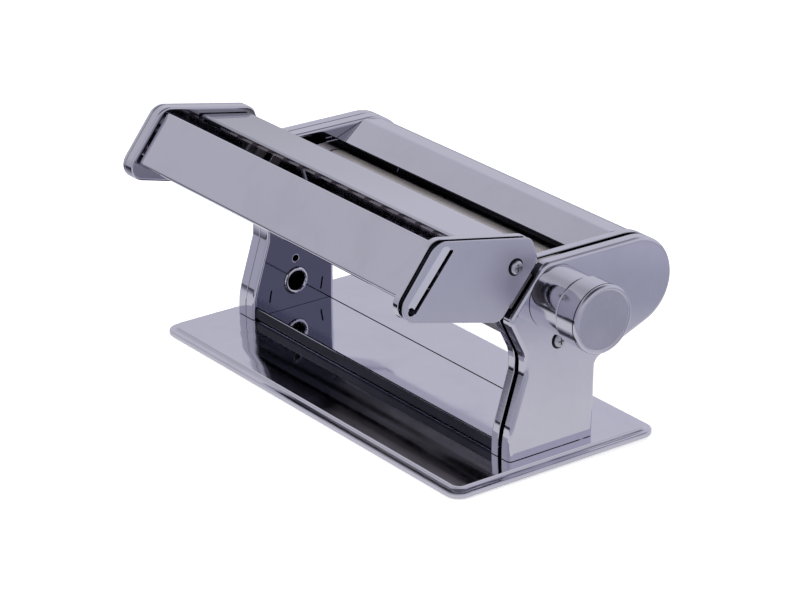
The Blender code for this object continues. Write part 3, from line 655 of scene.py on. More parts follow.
def ramp(tree, value, low, high, stops):
    """The colour of a value between low and high, by (share, colour) stops."""
    ranged = add(tree, "ShaderNodeMapRange", {"Value": value, "From Min": low, "From Max": high})
    made = add(tree, "ShaderNodeValToRGB", {"Fac": ranged.outputs[0]})
    elements = made.color_ramp.elements
    while len(elements) < len(stops):
        elements.new(0.5)
    for element, (position, colour) in zip(elements, stops):
        element.position = position
        element.color = (*colour, 1)
    return made.outputs[0]


def darker(colour, share):
    return tuple(channel * share for channel in colour)


def buffed_material(name, extra=0.0, streaks=0.0):
    """A new polished material without its colour; the extra roughness makes it satin."""
    finish = bpy.context.scene.pasta_finish
    made, tree, shader = blank(name, 1.0)
    sheet = place_group(tree, make_polish_group, "buffed sheet", Roughness=finish.polish + extra,
                        Smudge=finish.smudge, Waviness=finish.waviness, Streaks=streaks)
    tree.links.new(sheet["Roughness"], shader.inputs["Roughness"])
    tree.links.new(sheet["Normal"], shader.inputs["Normal"])
    return made, tree, shader, sheet["Smudge"]


def polished(name, colour, extra=0.0, streaks=0.0):
    """Polished sheet of one colour, darker where hands have smudged it."""
    if name in bpy.data.materials:
        return bpy.data.materials[name]
    made, tree, shader, smudges = buffed_material(name, extra, streaks)
    tinted(tree, shader, colour, darker(colour, 0.86), smudges)
    return made


def graded(name, direction, colours, span, patches, unevenness):
    """Polished sheet with painted shade: its colour changes unevenly along a direction, over a span in
    metres.
    """
    if name in bpy.data.materials:
        return bpy.data.materials[name]
    made, tree, shader, _ = buffed_material(name)
    place = add(tree, "ShaderNodeTexCoord").outputs["Object"]
    along = add(tree, "ShaderNodeSeparateXYZ", {0: place}).outputs[direction]
    cloud = add(tree, "ShaderNodeTexNoise", {"Vector": place, "Scale": patches, "Detail": 2.0})
    uneven = maths(tree, "MULTIPLY_ADD", cloud.outputs["Fac"], unevenness, along)
    share = add(tree, "ShaderNodeMapRange", {
        "Value": uneven, "From Min": span[0], "From Max": span[1]})
    tinted(tree, shader, *colours, share.outputs[0])
    return made


def chrome():
    return polished("polished_chrome_sheet", bpy.context.scene.pasta_finish.chrome)


def streaked_chrome():
    return polished("rolled_base_chrome", bpy.context.scene.pasta_finish.chrome, 0.03, 0.3)


def satin_chrome():
    return polished("satin_chrome_plate", bpy.context.scene.pasta_finish.chrome, 0.24)


def groove_painted_highlight():
    # painted highlight: the groove's recess is near white, standing in for a bright reflection
    return polished("groove_painted_highlight", (0.93, 0.93, 0.96), 0.12)


def painted_shade_chrome():
    """The inner plates, with painted shade and reflection: dark blue at the foot, lighter towards the
    hopper.
    """
    finish = bpy.context.scene.pasta_finish
    colours = (finish.blue, darker(finish.chrome, 0.6))
    return graded("painted_shade_chrome_plate", "Z", colours, (0.055, 0.125), 22.0, 0.02)


def painted_shade_panel_chrome():
    """The middle panel's sheet, with painted shade: darker towards the crank's side."""
    chrome_colour = bpy.context.scene.pasta_finish.chrome
    colours = (darker(chrome_colour, 0.66), chrome_colour)
    return graded("painted_shade_panel_chrome_sheet", "X", colours, (-0.1, 0.07), 14.0, 0.05)


def inside_and_painted_shade():
    """The unpolished inner faces of the pressed shells; the same dark finish is also painted shade on the
    sloping flanges, the tray's front and bead, the screw seats and the knob's groove.
    """
    if "dull_inside_and_painted_shade" in bpy.data.materials:
        return bpy.data.materials["dull_inside_and_painted_shade"]
    finish = bpy.context.scene.pasta_finish
    made, tree, shader = blank("dull_inside_and_painted_shade", 1.0)
    sheet = place_group(tree, make_polish_group, "buffed sheet", Roughness=0.22,
                        Smudge=0.8, Waviness=finish.waviness)
    grime = place_group(tree, make_grime_group, "grime", Size=48.0, Amount=0.6)
    tinted(tree, shader, finish.inside, darker(finish.inside, 0.4), grime["Mask"])
    tree.links.new(sheet["Roughness"], shader.inputs["Roughness"])
    tree.links.new(sheet["Normal"], shader.inputs["Normal"])
    return made


def turned_metal(name, colour, axis, roughness=0.2, depth=0.2, fineness=2400.0, grime=0.35,
                 metallic=1.0):
    """Metal with lathe or grinding marks about an axis along X."""
    if name in bpy.data.materials:
        return bpy.data.materials[name]
    made, tree, shader = blank(name, metallic)
    point = ORIGIN + Vector((0, axis[0], axis[1])) * MM
    marks = place_group(tree, make_turned_group, "turned marks", Axis=point, Roughness=roughness,
                        Depth=depth, Fineness=fineness)
    stains = place_group(tree, make_grime_group, "grime", Size=70.0, Amount=grime)
    tinted(tree, shader, colour, darker(colour, 0.55), stains["Mask"])
    tree.links.new(marks["Roughness"], shader.inputs["Roughness"])
    tree.links.new(marks["Normal"], shader.inputs["Normal"])
    return made


def rubber():
    """Moulded black rubber with a fine grain and a little dust."""
    if "moulded_rubber" in bpy.data.materials:
        return bpy.data.materials["moulded_rubber"]
    finish = bpy.context.scene.pasta_finish
    made, tree, shader = blank("moulded_rubber", 0.0)
    place = add(tree, "ShaderNodeTexCoord").outputs["Object"]
    grain = add(tree, "ShaderNodeTexNoise", {"Vector": place, "Scale": 1800.0, "Detail": 4.0})
    bump = add(tree, "ShaderNodeBump", {
        "Strength": 0.3, "Distance": 0.0001, "Height": grain.outputs["Fac"]})
    dust = place_group(tree, make_grime_group, "grime", Size=150.0, Amount=0.35)
    tinted(tree, shader, finish.rubber, (0.09, 0.088, 0.085), dust["Mask"])
    rough = maths(tree, "MULTIPLY_ADD", grain.outputs["Fac"], 0.2, 0.62)
    tree.links.new(rough, shader.inputs["Roughness"])
    tree.links.new(bump.outputs[0], shader.inputs["Normal"])
    return made


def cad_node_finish(node, finish):
    """Gives a node of the working model, kept as it is, its finish."""
    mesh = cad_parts[node].data
    mesh.materials.clear()
    mesh.materials.append(finish)


# ---------------------------------------------------------------- operators

def side_x(side, x):
    """The X of the right side, mirrored for the left."""
    return x if side == "right" else -x


def seam_width(side):
    """The seams are open on the knob's side and tight on the crank's."""
    settings = bpy.context.scene.pasta_shape
    return settings.seam if side == "right" else settings.far_seam


def drill(axis, radius, x0, x1, segments=48):
    """A round cutter along X."""
    return turned([(x0, radius), (x1, radius)], axis, segments)


class PASTA_OT_stage(bpy.types.Operator):
    """Floor, soft light and the camera."""
    bl_idname = "pasta.stage"
    bl_label = "Floor, light and camera"

    def execute(self, context):
        settings = context.scene.pasta_stage
        self.make_floor()
        self.make_room(context, settings)
        self.make_lights()
        self.make_camera(context, settings)
        return {"FINISHED"}

    def make_floor(self):
        """A wide pale disc just under the feet."""
        bm = bmesh.new()
        bmesh.ops.create_circle(bm, cap_ends=True, segments=96, radius=6.0)
        mesh = bpy.data.meshes.new("floor")
        bm.to_mesh(mesh)
        bm.free()
        floor = bpy.data.objects.new("floor", mesh)
        floor.location.z = -0.0002
        bpy.context.scene.collection.objects.link(floor)
        mesh.materials.append(self.floor_finish())

    def floor_finish(self):
        """Pale to the eye; the polish sees rings of grey round the machine and a dark patch in front."""
        made, tree, shader = blank("pale_floor", 0.0)
        shader.inputs["Roughness"].default_value = 0.9
        shader.inputs["Specular IOR Level"].default_value = 0.0
        place = add(tree, "ShaderNodeTexCoord").outputs["Object"]
        away = add(tree, "ShaderNodeVectorMath", {0: place}, operation="LENGTH").outputs["Value"]
        seen = ramp(tree, away, *FLOOR_RINGS)
        patch = add(tree, "ShaderNodeVectorMath", {0: place, 1: DARK_PATCH}, operation="DISTANCE")
        dark = add(tree, "ShaderNodeMapRange", {
            "Value": patch.outputs["Value"], "From Min": DARK_PATCH_SPAN[0],
            "From Max": DARK_PATCH_SPAN[1]})
        shaded = add(tree, "ShaderNodeMix", {
            "Factor": dark.outputs[0], "A": (0.015, 0.015, 0.02, 1), "B": seen}, data_type="RGBA")
        # painted reflection: the rings and the dark patch glow only for glossy rays, and the camera sees the
        # pale lit floor
        glow = add(tree, "ShaderNodeEmission", {"Color": shaded.outputs["Result"]})
        grain = add(tree, "ShaderNodeTexNoise", {"Vector": place, "Scale": 9.0, "Detail": 3.0})
        tone = ramp(tree, grain.outputs["Fac"], 0.0, 1.0, (
            (0.0, (0.88, 0.88, 0.88)), (1.0, (0.92, 0.92, 0.92))))
        tree.links.new(tone, shader.inputs["Base Color"])
        shader.inputs["Emission Color"].default_value = (1, 1, 1, 1)
        shader.inputs["Emission Strength"].default_value = 0.45
        glossy = add(tree, "ShaderNodeLightPath").outputs["Is Glossy Ray"]
        both = add(tree, "ShaderNodeMixShader", {0: glossy, 1: shader.outputs[0], 2: glow.outputs[0]})
        tree.links.new(both.outputs[0], tree.nodes["Material Output"].inputs["Surface"])
        return made

    def make_room(self, context, settings):
        """An even pale room: white to the eye, and a soft gradient in the polish."""
        world = bpy.data.worlds.new("studio")
        context.scene.world = world
        world.use_nodes = True
        tree = world.node_tree
        out = tree.nodes["World Output"]
        shown = tree.nodes["Background"]
        shown.inputs["Color"].default_value = (1, 1, 1, 1)
        shown.inputs["Strength"].default_value = 1.0
        place = add(tree, "ShaderNodeTexCoord").outputs["Generated"]
        parts = add(tree, "ShaderNodeSeparateXYZ", {0: place}).outputs
        depth = ramp(tree, parts["Y"], *ROOM_DEPTH)
        height = ramp(tree, parts["Z"], *ROOM_HEIGHT)
        both = add(tree, "ShaderNodeMix", {"Factor": 1.0, "A": depth, "B": height},
                   data_type="RGBA", blend_type="MULTIPLY").outputs["Result"]
        room = add(tree, "ShaderNodeMix", {"Factor": 1.0, "A": both, "B": (*settings.room, 1)},
                   data_type="RGBA", blend_type="MULTIPLY").outputs["Result"]
        seen = add(tree, "ShaderNodeBackground", {"Color": room, "Strength": 1.0})
        path = add(tree, "ShaderNodeLightPath").outputs["Is Camera Ray"]
        mix = add(tree, "ShaderNodeMixShader", {0: path, 1: seen.outputs[0], 2: shown.outputs[0]})
        tree.links.new(mix.outputs[0], out.inputs["Surface"])

    def make_lights(self):
        """Soft lamps that light the rough finishes and stay out of the polish."""
        for name, place, width, height, power in LAMPS:
            light = bpy.data.lights.new(name, "AREA")
            light.shape = "RECTANGLE"
            light.size, light.size_y, light.energy = width, height, power
            lamp = bpy.data.objects.new(name, light)
            lamp.location = place
            aim = Vector((0, 0, 0.06)) - Vector(place)
            lamp.rotation_euler = aim.to_track_quat("-Z", "Y").to_euler()
            lamp.visible_glossy = False
            bpy.context.scene.collection.objects.link(lamp)

    def make_camera(self, context, settings):
        """A long lens from the front, on the knob's side."""
        turn, lift = math.radians(settings.azimuth), math.radians(settings.elevation)
        back = Vector((math.sin(turn) * math.cos(lift), -math.cos(turn) * math.cos(lift), math.sin(lift)))
        right = Vector((math.cos(turn), math.sin(turn), 0))
        up = back.cross(right)
        target = ORIGIN + right * settings.aim_right * MM + up * settings.aim_up * MM
        data = bpy.data.cameras.new("camera")
        data.lens = settings.lens
        data.sensor_width = 36.0
        data.clip_start, data.clip_end = 0.05, 50.0
        camera = bpy.data.objects.new("camera", data)
        camera.location = target + back * settings.distance
        camera.rotation_euler = (-back).to_track_quat("-Z", "Y").to_euler()
        context.scene.collection.objects.link(camera)
        context.scene.camera = camera
        context.scene.view_settings.view_transform = "Standard"


class PASTA_OT_base(bpy.types.Operator):
    """The flat base with its ridged rim, the mirror tray on it and the rubber feet."""
    bl_idname = "pasta.base"
    bl_label = "Base, tray and feet"

    def execute(self, context):
        self.make_plate()
        self.make_tray()
        for number in range(1, 5):
            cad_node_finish(f"rubber_foot_{number}", rubber())
        return {"FINISHED"}

    def rim_loop(self, bm, distance, z):
        """A loop of the base's outline, moved in by the distance."""
        half_x, half_y = BASE_HALF_X - distance, BASE_HALF_Y - distance
        radius = BASE_CORNER - distance
        loop = []
        for sx, sy, start in ((1, 1, 0), (-1, 1, 90), (-1, -1, 180), (1, -1, 270)):
            centre = (sx * (half_x - radius), sy * (half_y - radius))
            loop += [bm.verts.new((x, y, z)) for x, y in arc(centre, radius, start, start + 90)]
        return loop

    def make_plate(self):
        """The rim turns down outside; a rounded ridge runs round it, then a small groove."""
        outer = [(0.15, 0.8), (0.0, 1.0), (0.0, 2.2)]
        outer += [(0.9 - 0.9 * math.cos(a), 2.2 + 0.9 * math.sin(a)) for a in quarter(5)]
        outer += [(2.0, 3.1), (2.5, 3.2)]
        outer += [(2.5 + 1.7 * math.sin(a) * 0.9, BASE_TOP - 1.8 * math.cos(a)) for a in quarter(6)[1:]]
        crest = [(4.4, BASE_TOP), (5.2, BASE_TOP)]
        inner = [(5.2, BASE_TOP - SHEET), (4.2, BASE_TOP - SHEET), (3.4, 2.6), (1.4, 2.2), (1.0, 0.8)]
        bm = bmesh.new()
        top = [self.rim_loop(bm, distance, z) for distance, z in outer + crest]
        under = [self.rim_loop(bm, distance, z) for distance, z in inner]
        skin(bm, top, True)
        bm.faces.new(top[-1])
        skin(bm, under, True, 1)
        bm.faces.new(under[0]).material_index = 1
        skin(bm, [under[-1], top[0]], True)
        bmesh.ops.recalc_face_normals(bm, faces=bm.faces)
        piece("pressed_base", bm, (streaked_chrome(), inside_and_painted_shade()), "frame",
              ["base_plate"], crease=40)

    def make_tray(self):
        """A thin mirror sheet whose front edge turns up into a lip."""
        z = BASE_TOP + GAP
        path = filleted([
            (TRAY_FRONT_Y + 1.6, TRAY_LIP_Z, 0), (TRAY_FRONT_Y, TRAY_LIP_Z, 1.15),
            (TRAY_FRONT_Y, z, 1.6), (TRAY_REAR_Y, z, 0),
        ])
        bm = prism(band(path, SHEET), -INNER_X + GAP, INNER_X - GAP)
        # the faces turned to the front take the dark inside finish: painted shade, a dark line along the lip
        for face in bm.faces:
            face.material_index = 1 if face.normal.y < -0.6 else 0
        bead = block((-INNER_X, TRAY_BEAD_Y[0], z + 0.6), (INNER_X, TRAY_BEAD_Y[1], z + 2))
        # the bead's groove takes the dark inside finish: painted shade in it
        for face in bead.faces:
            face.material_index = 1
        piece("mirror_tray", bm, (chrome(), inside_and_painted_shade()), "frame",
              ["floor_tray"], [bead], crease=40)


class PASTA_OT_housings(bpy.types.Operator):
    """The four pressed shells of the end housings, with their holes, lips and screws."""
    bl_idname = "pasta.housings"
    bl_label = "End housings"

    def execute(self, context):
        for side in ("left", "right"):
            self.make_inner_frame(side)
            self.make_cover(context, side)
            self.make_clamp_lip(side)
            make_screw(f"{side}_cover_screw_head", f"{side}_cover_screw", "frame",
                       side_x(side, OUTER_X), side_x(side, OUTER_X - 7), COVER_SCREW,
                       COVER_SCREW_RADIUS)
        return {"FINISHED"}

    def make_inner_frame(self, side):
        plate, rim = side_x(side, INNER_X), side_x(side, SEAM_X - seam_width(side) / 2)
        out = side_x(side, 1.0)
        bm = shell(housing_outline(), False, edge_steps(rim, plate, FRAME_EDGE),
                   back_steps(plate, rim), 2)
        shade_slope(bm, rim)
        near, far = plate - out * 3, plate + out * 3
        cutters = [
            drill(KNOB_AXIS, CAM_HOLE_RADIUS, near, far),
            drill(REAR_AXIS, DRIVE_HOLE_RADIUS, near, far),
            drill(CLAMP_HOLE, CLAMP_HOLE_RADIUS, near, far),
            drill(PIN_HOLE, PIN_HOLE_RADIUS, near, far, 32),
            drill(PIN_HOLE, PIN_DIMPLE_RADIUS, near, plate + out * 0.2, 32),
            prism(filleted(HOPPER_ARCH), near, far),
        ]
        for y in LEG_SLOTS_Y:
            slot = filleted([
                (y - 0.9, LEG_SLOT_LOW, 0.4), (y + 0.1, LEG_SLOT_LOW, 0.4),
                (y + 1.3, LEG_SLOT_HIGH, 0.4), (y + 0.3, LEG_SLOT_HIGH, 0.4),
            ], closed=True)
            cutters.append(prism(slot, near, far))
        piece(f"{side}_inner_shell", bm, (chrome(), inside_and_painted_shade(), painted_shade_chrome()), "frame",
              [f"{side}_inner_frame"], cutters)

    def make_cover(self, context, side):
        settings = context.scene.pasta_shape
        plate, rim = side_x(side, OUTER_X), side_x(side, SEAM_X + seam_width(side) / 2)
        out = side_x(side, 1.0)
        outer = edge_steps(rim, plate, settings.cover_edge, 9)
        inner = [(plate - out * SHEET, 3.0), (plate - out * (SHEET + 1.6), 1.3), (rim, 1.0)]
        bm = shell(housing_outline(), False, outer, inner)
        shade_slope(bm, plate - out * settings.cover_edge)
        near, far = plate - out * 4, plate + out * 3
        if side == "right":
            cutters = [drill(KNOB_AXIS, SHAFT_HOLE_RADIUS, near, far)]
        else:
            cutters = [drill(REAR_AXIS, SOCKET_WINDOW_RADIUS, near, far)]
        cutters += screw_seat(COVER_SCREW, plate, out, near)
        piece(f"{side}_outer_cover", bm, (chrome(), inside_and_painted_shade()), "frame",
              [f"{side}_cover"], cutters)

    def make_clamp_lip(self, side):
        """The rolled lip of the clamp hole, with a soft round edge towards the machine's middle."""
        plate, out = side_x(side, INNER_X), side_x(side, 1.0)
        lip = [(plate + out * depth, radius) for depth, radius in (
            (-1.0, 5.9), (-0.7, 5.3), (0.0, 5.0), (4.5, 5.0), (4.5, 6.6), (-0.1, 7.0), (-0.3, 7.1),
            (-0.8, 6.6))]
        piece(f"{side}_clamp_lip", turned(rounded(lip, 0.3, True), CLAMP_HOLE, closed=True),
              (chrome(),), "frame", [f"{side}_clamp_bush"], crease=60)


def shade_slope(bm, edge_x):
    """Gives the sloping flange, up to its edge, the dark inside finish as painted shade: a dark band along
    the slope.
    """
    for face in bm.faces:
        inner = abs(face.calc_center_median().x) < abs(edge_x)
        if inner and face.normal.y < -0.5 and face.normal.z > 0.4:
            face.material_index = 1


def screw_seat(axis, plate, out, near):
    """A small dished seat with a hole for the screw's shank."""
    dish = [(plate + out * x, radius) for x, radius in ((-0.55, 3.0), (-0.45, 4.0), (0.3, 4.3))]
    seat = turned(dish, axis, 48)
    # the dish takes the dark inside finish: painted shade in a ring round the screw's head
    for face in seat.faces:
        face.material_index = 1
    return [drill(axis, SCREW_HOLE_RADIUS, near, plate + out * 2, 32), seat]


def make_screw(name, node, body, plate, shank_end, axis, radius):
    """A pan-head screw with a cross recess."""
    out = math.copysign(1, plate)
    top = plate + out * 1.85
    under = plate - out * 0.25
    head = [(shank_end, 0), (shank_end, SHANK_RADIUS), (under, SHANK_RADIUS), (under, radius)]
    head += [(plate + out * (0.9 + 0.95 * math.sin(a)), radius - 1.5 * (1 - math.cos(a)))
             for a in quarter(6)]
    head += [(top, 0)]
    low, high = sorted((top - out * 1.3, top + out * 0.5))
    slots = [
        block((low, axis[0] - y, axis[1] - z), (high, axis[0] + y, axis[1] + z))
        for y, z in ((RECESS_ARM, RECESS_HALF_WIDTH), (RECESS_HALF_WIDTH, RECESS_ARM))
    ]
    finish = turned_metal(f"{name}_metal", (0.55, 0.54, 0.58), axis, 0.12, 0.12, 3000.0, 0.3)
    return piece(name, turned(head, axis, 48), (finish,), body, [node], slots, crease=40)


class PASTA_OT_body_panels(bpy.types.Operator):
    """The hopper's rear shell, the front apron, the guards and the hidden bars."""
    bl_idname = "pasta.body_panels"
    bl_label = "Body panels"

    def execute(self, context):
        span = (-INNER_X + GAP, INNER_X - GAP)
        back = [HOPPER_BACK_FOOT] + arc(NOSE, NOSE_RADIUS - 0.9, -69, 84, 4)
        path = filleted([(y, z, 0) for y, z in back] + list(HOPPER_LEDGE))
        bm = prism(band(path, SHEET), *span, inner_from=len(path) - 1)
        piece("rear_hopper_shell", bm, (chrome(), inside_and_painted_shade()), "frame",
              ["rear_shell"], crease=30)
        self.make_apron(span)
        self.make_guards()
        for node, axis in TIE_RODS.items():
            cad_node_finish(node, turned_metal("drawn_bar", (0.4, 0.39, 0.4), axis, 0.25, 0.2, 900.0))
        for node in ("front_scraper", "rear_scraper"):
            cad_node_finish(node, inside_and_painted_shade())
        return {"FINISHED"}

    def make_apron(self, span):
        """The sheet that follows the sloping front, with a lip over the roller and one below."""
        slope = Vector((SLOPE_HEAD[0] - SLOPE_FOOT[0], SLOPE_HEAD[1] - SLOPE_FOOT[1])).normalized()
        inward = Vector((slope.y, -slope.x)) * 0.8
        foot = (SLOPE_FOOT[0] + inward.x + 1.2, SLOPE_FOOT[1] + inward.y + 2.0)
        path = filleted([*APRON_TOP, (*foot, 1.6), (foot[0] + 3.2, foot[1] - 3.2, 0)])
        bm = prism(band(path, SHEET), *span, inner_from=len(path) - 1)
        piece("sloping_apron", bm, (chrome(), inside_and_painted_shade()), "frame",
              ["front_apron"], crease=30, bevel=0.25)

    def make_guards(self):
        """The thin plates that keep the dough off the rollers' ends."""
        outline = filleted(GUARD_CORNERS, closed=True)
        for side in ("left", "right"):
            near = side_x(side, BARREL_X + GUARD_CLEAR)
            far = side_x(side, BARREL_X + GUARD_CLEAR + SHEET)
            cutters = [drill(axis, radius, near - 2, near + 2)
                       for axis, radius in zip((KNOB_AXIS, REAR_AXIS), GUARD_HOLE_RADII)]
            piece(f"{side}_guard_plate", prism(outline, near, far), (chrome(),), "frame",
                  [f"{side}_roller_guard"], cutters, bevel=0.2)


class PASTA_OT_rollers(bpy.types.Operator):
    """The two smooth sheeting rollers with their gears, bushes and crank socket."""
    bl_idname = "pasta.rollers"
    bl_label = "Sheeting rollers"

    def execute(self, context):
        colour = context.scene.pasta_finish.steel
        gear = context.scene.pasta_finish.gear
        bronze = context.scene.pasta_finish.bronze
        for name, node, axis, (journal, left, right) in (
            ("driven_sheeting_roller", "drive_roller", REAR_AXIS, DRIVE_JOURNAL),
            ("moving_sheeting_roller", "front_roller", FRONT_AXIS, FRONT_JOURNAL),
        ):
            profile = [
                (left, journal), (-BARREL_X, journal), (-BARREL_X, ROLLER_RADIUS),
                (BARREL_X, ROLLER_RADIUS), (BARREL_X, journal), (right, journal),
            ]
            finish = turned_metal(f"{node}_ground_steel", colour, axis, 0.28, 0.25, 1500.0, 0.3, 0.5)
            piece(name, turned(rounded(profile, 0.5), axis), (finish,), node, [node],
                  crease=60)
        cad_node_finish("drive_gear", turned_metal("drive_gear_steel", gear, REAR_AXIS, 0.3, 0.4))
        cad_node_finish("front_roller_gear",
                       turned_metal("front_gear_steel", gear, FRONT_AXIS, 0.3, 0.4))
        for node, axis in (("left_drive_bush", REAR_AXIS), ("right_drive_bush", REAR_AXIS),
                           ("left_front_bush", FRONT_AXIS), ("right_front_bush", FRONT_AXIS),
                           ("left_setting_cam", KNOB_AXIS)):
            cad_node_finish(node, turned_metal(f"{node}_bronze", bronze, axis, 0.3, 0.3, 1800.0))
        make_socket("roller_crank_socket", "crank_socket", "drive_roller", REAR_AXIS, gear,
                    (-110.6, -104.3), 8.0, 4.6, -105.3)
        return {"FINISHED"}


def make_socket(name, node, body, axis, colour, span, radius, bore, depth):
    """A turned end with a six-sided bore that takes the crank."""
    edge = rounded([(span[0], 0), (span[0], radius), (span[1], radius), (span[1], 0)], 0.5)
    shape = turned(edge, axis, 64)
    finish = turned_metal(f"{name}_steel", colour, axis, 0.2, 0.3, 1800.0)
    mouth = turned([
        (span[0] - 1.0, bore + 0.9), (span[0] + 0.05, bore + 0.6), (span[0] + 0.7, bore * 0.86),
    ], axis, 48)
    hexagon = turned([(span[0] - 1.4, bore), (depth, bore)], axis, 6)
    piece(name, shape, (finish,), body, [node], [hexagon, mouth])


class PASTA_OT_setting_knob(bpy.types.Operator):
    """The fixed boss, the pull-out knob and its shaft."""
    bl_idname = "pasta.setting_knob"
    bl_label = "Setting knob"

    def execute(self, context):
        finish = context.scene.pasta_finish
        spun = turned_metal("spun_chrome", finish.chrome, KNOB_AXIS, finish.polish + 0.01, 0.02,
                            2600.0, 0.12)
        face = turned_metal("satin_knob_face", darker(finish.chrome, 0.86), KNOB_AXIS, 0.22, 0.10,
                            2600.0, 0.15)
        boss = [(OUTER_X + GAP, SHAFT_BORE), (OUTER_X + GAP, BOSS_RADIUS)]
        boss += round_edge(BOSS_END_X, BOSS_RADIUS, 1.2, 6)
        boss += [(BOSS_END_X, SHAFT_BORE)]
        piece("knob_base_boss", turned(boss, KNOB_AXIS, closed=True), (spun,), "frame",
              ["knob_boss"], crease=50)
        self.make_knob(spun, face)
        bronze = turned_metal("setting_shaft_bronze", finish.bronze, KNOB_AXIS, 0.3, 0.3, 1800.0)
        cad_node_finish("setting_shaft", bronze)
        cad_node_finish("knob_stop_ring", turned_metal("stop_ring_steel", finish.steel, KNOB_AXIS))
        return {"FINISHED"}

    def make_knob(self, spun, face):
        """A cylinder with a round bezel and a dished disc inside it."""
        disc = KNOB_DISC_RADIUS
        side = [(KNOB_START_X + 1.0, SHAFT_BORE), (KNOB_START_X + 0.3, 7.0), (KNOB_START_X, 8.0)]
        side += [(KNOB_START_X + 0.8 * (1 - math.cos(a)), KNOB_RADIUS - 0.8 * (1 - math.sin(a)))
                 for a in quarter(5)]
        seam = KNOB_FACE_X - KNOB_BEZEL - 0.6
        side += [(seam - 0.5, KNOB_RADIUS), (seam - 0.45, KNOB_RADIUS - 0.6),
                 (seam + 0.05, KNOB_RADIUS - 0.6), (seam + 0.1, KNOB_RADIUS)]
        side += round_edge(KNOB_FACE_X, KNOB_RADIUS, KNOB_BEZEL, 10)
        lip = [(KNOB_FACE_X - 0.1, disc + 1.2), (KNOB_FACE_X - 0.45, disc + 0.4), (KNOB_FACE_X - 0.55, disc)]
        dish = [(KNOB_FACE_X - 0.6, disc - 1.0), (KNOB_FACE_X - 0.55, disc / 2), (KNOB_FACE_X - 0.5, 0)]
        bore, mouth, end = KNOB_SPRING_BORE
        hollow = [(end, 0), (end, bore), (mouth, bore), (mouth, SHAFT_BORE)]
        bm = turned(side + lip + dish + hollow, KNOB_AXIS, closed=True)
        # the groove by the bezel takes the dark inside finish: a painted reflection, a dark line round the
        # knob
        for part in bm.faces:
            middle = part.calc_center_median()
            radius = math.hypot(middle.y - KNOB_AXIS[0], middle.z - KNOB_AXIS[1])
            if middle.x > KNOB_FACE_X - 1 and radius < disc + 0.3:
                part.material_index = 1
            elif seam - 0.5 < middle.x < seam + 0.1 and radius > disc:
                part.material_index = 2
        piece("setting_knob_cap", bm, (spun, face, inside_and_painted_shade()), "setting_knob",
              ["setting_knob"], crease=50)


def round_edge(face_x, radius, edge, count):
    """(x, radius) steps round the edge between a turned side and its face."""
    return [(face_x - edge * (1 - math.sin(a)), radius - edge * (1 - math.cos(a)))
            for a in quarter(count)]


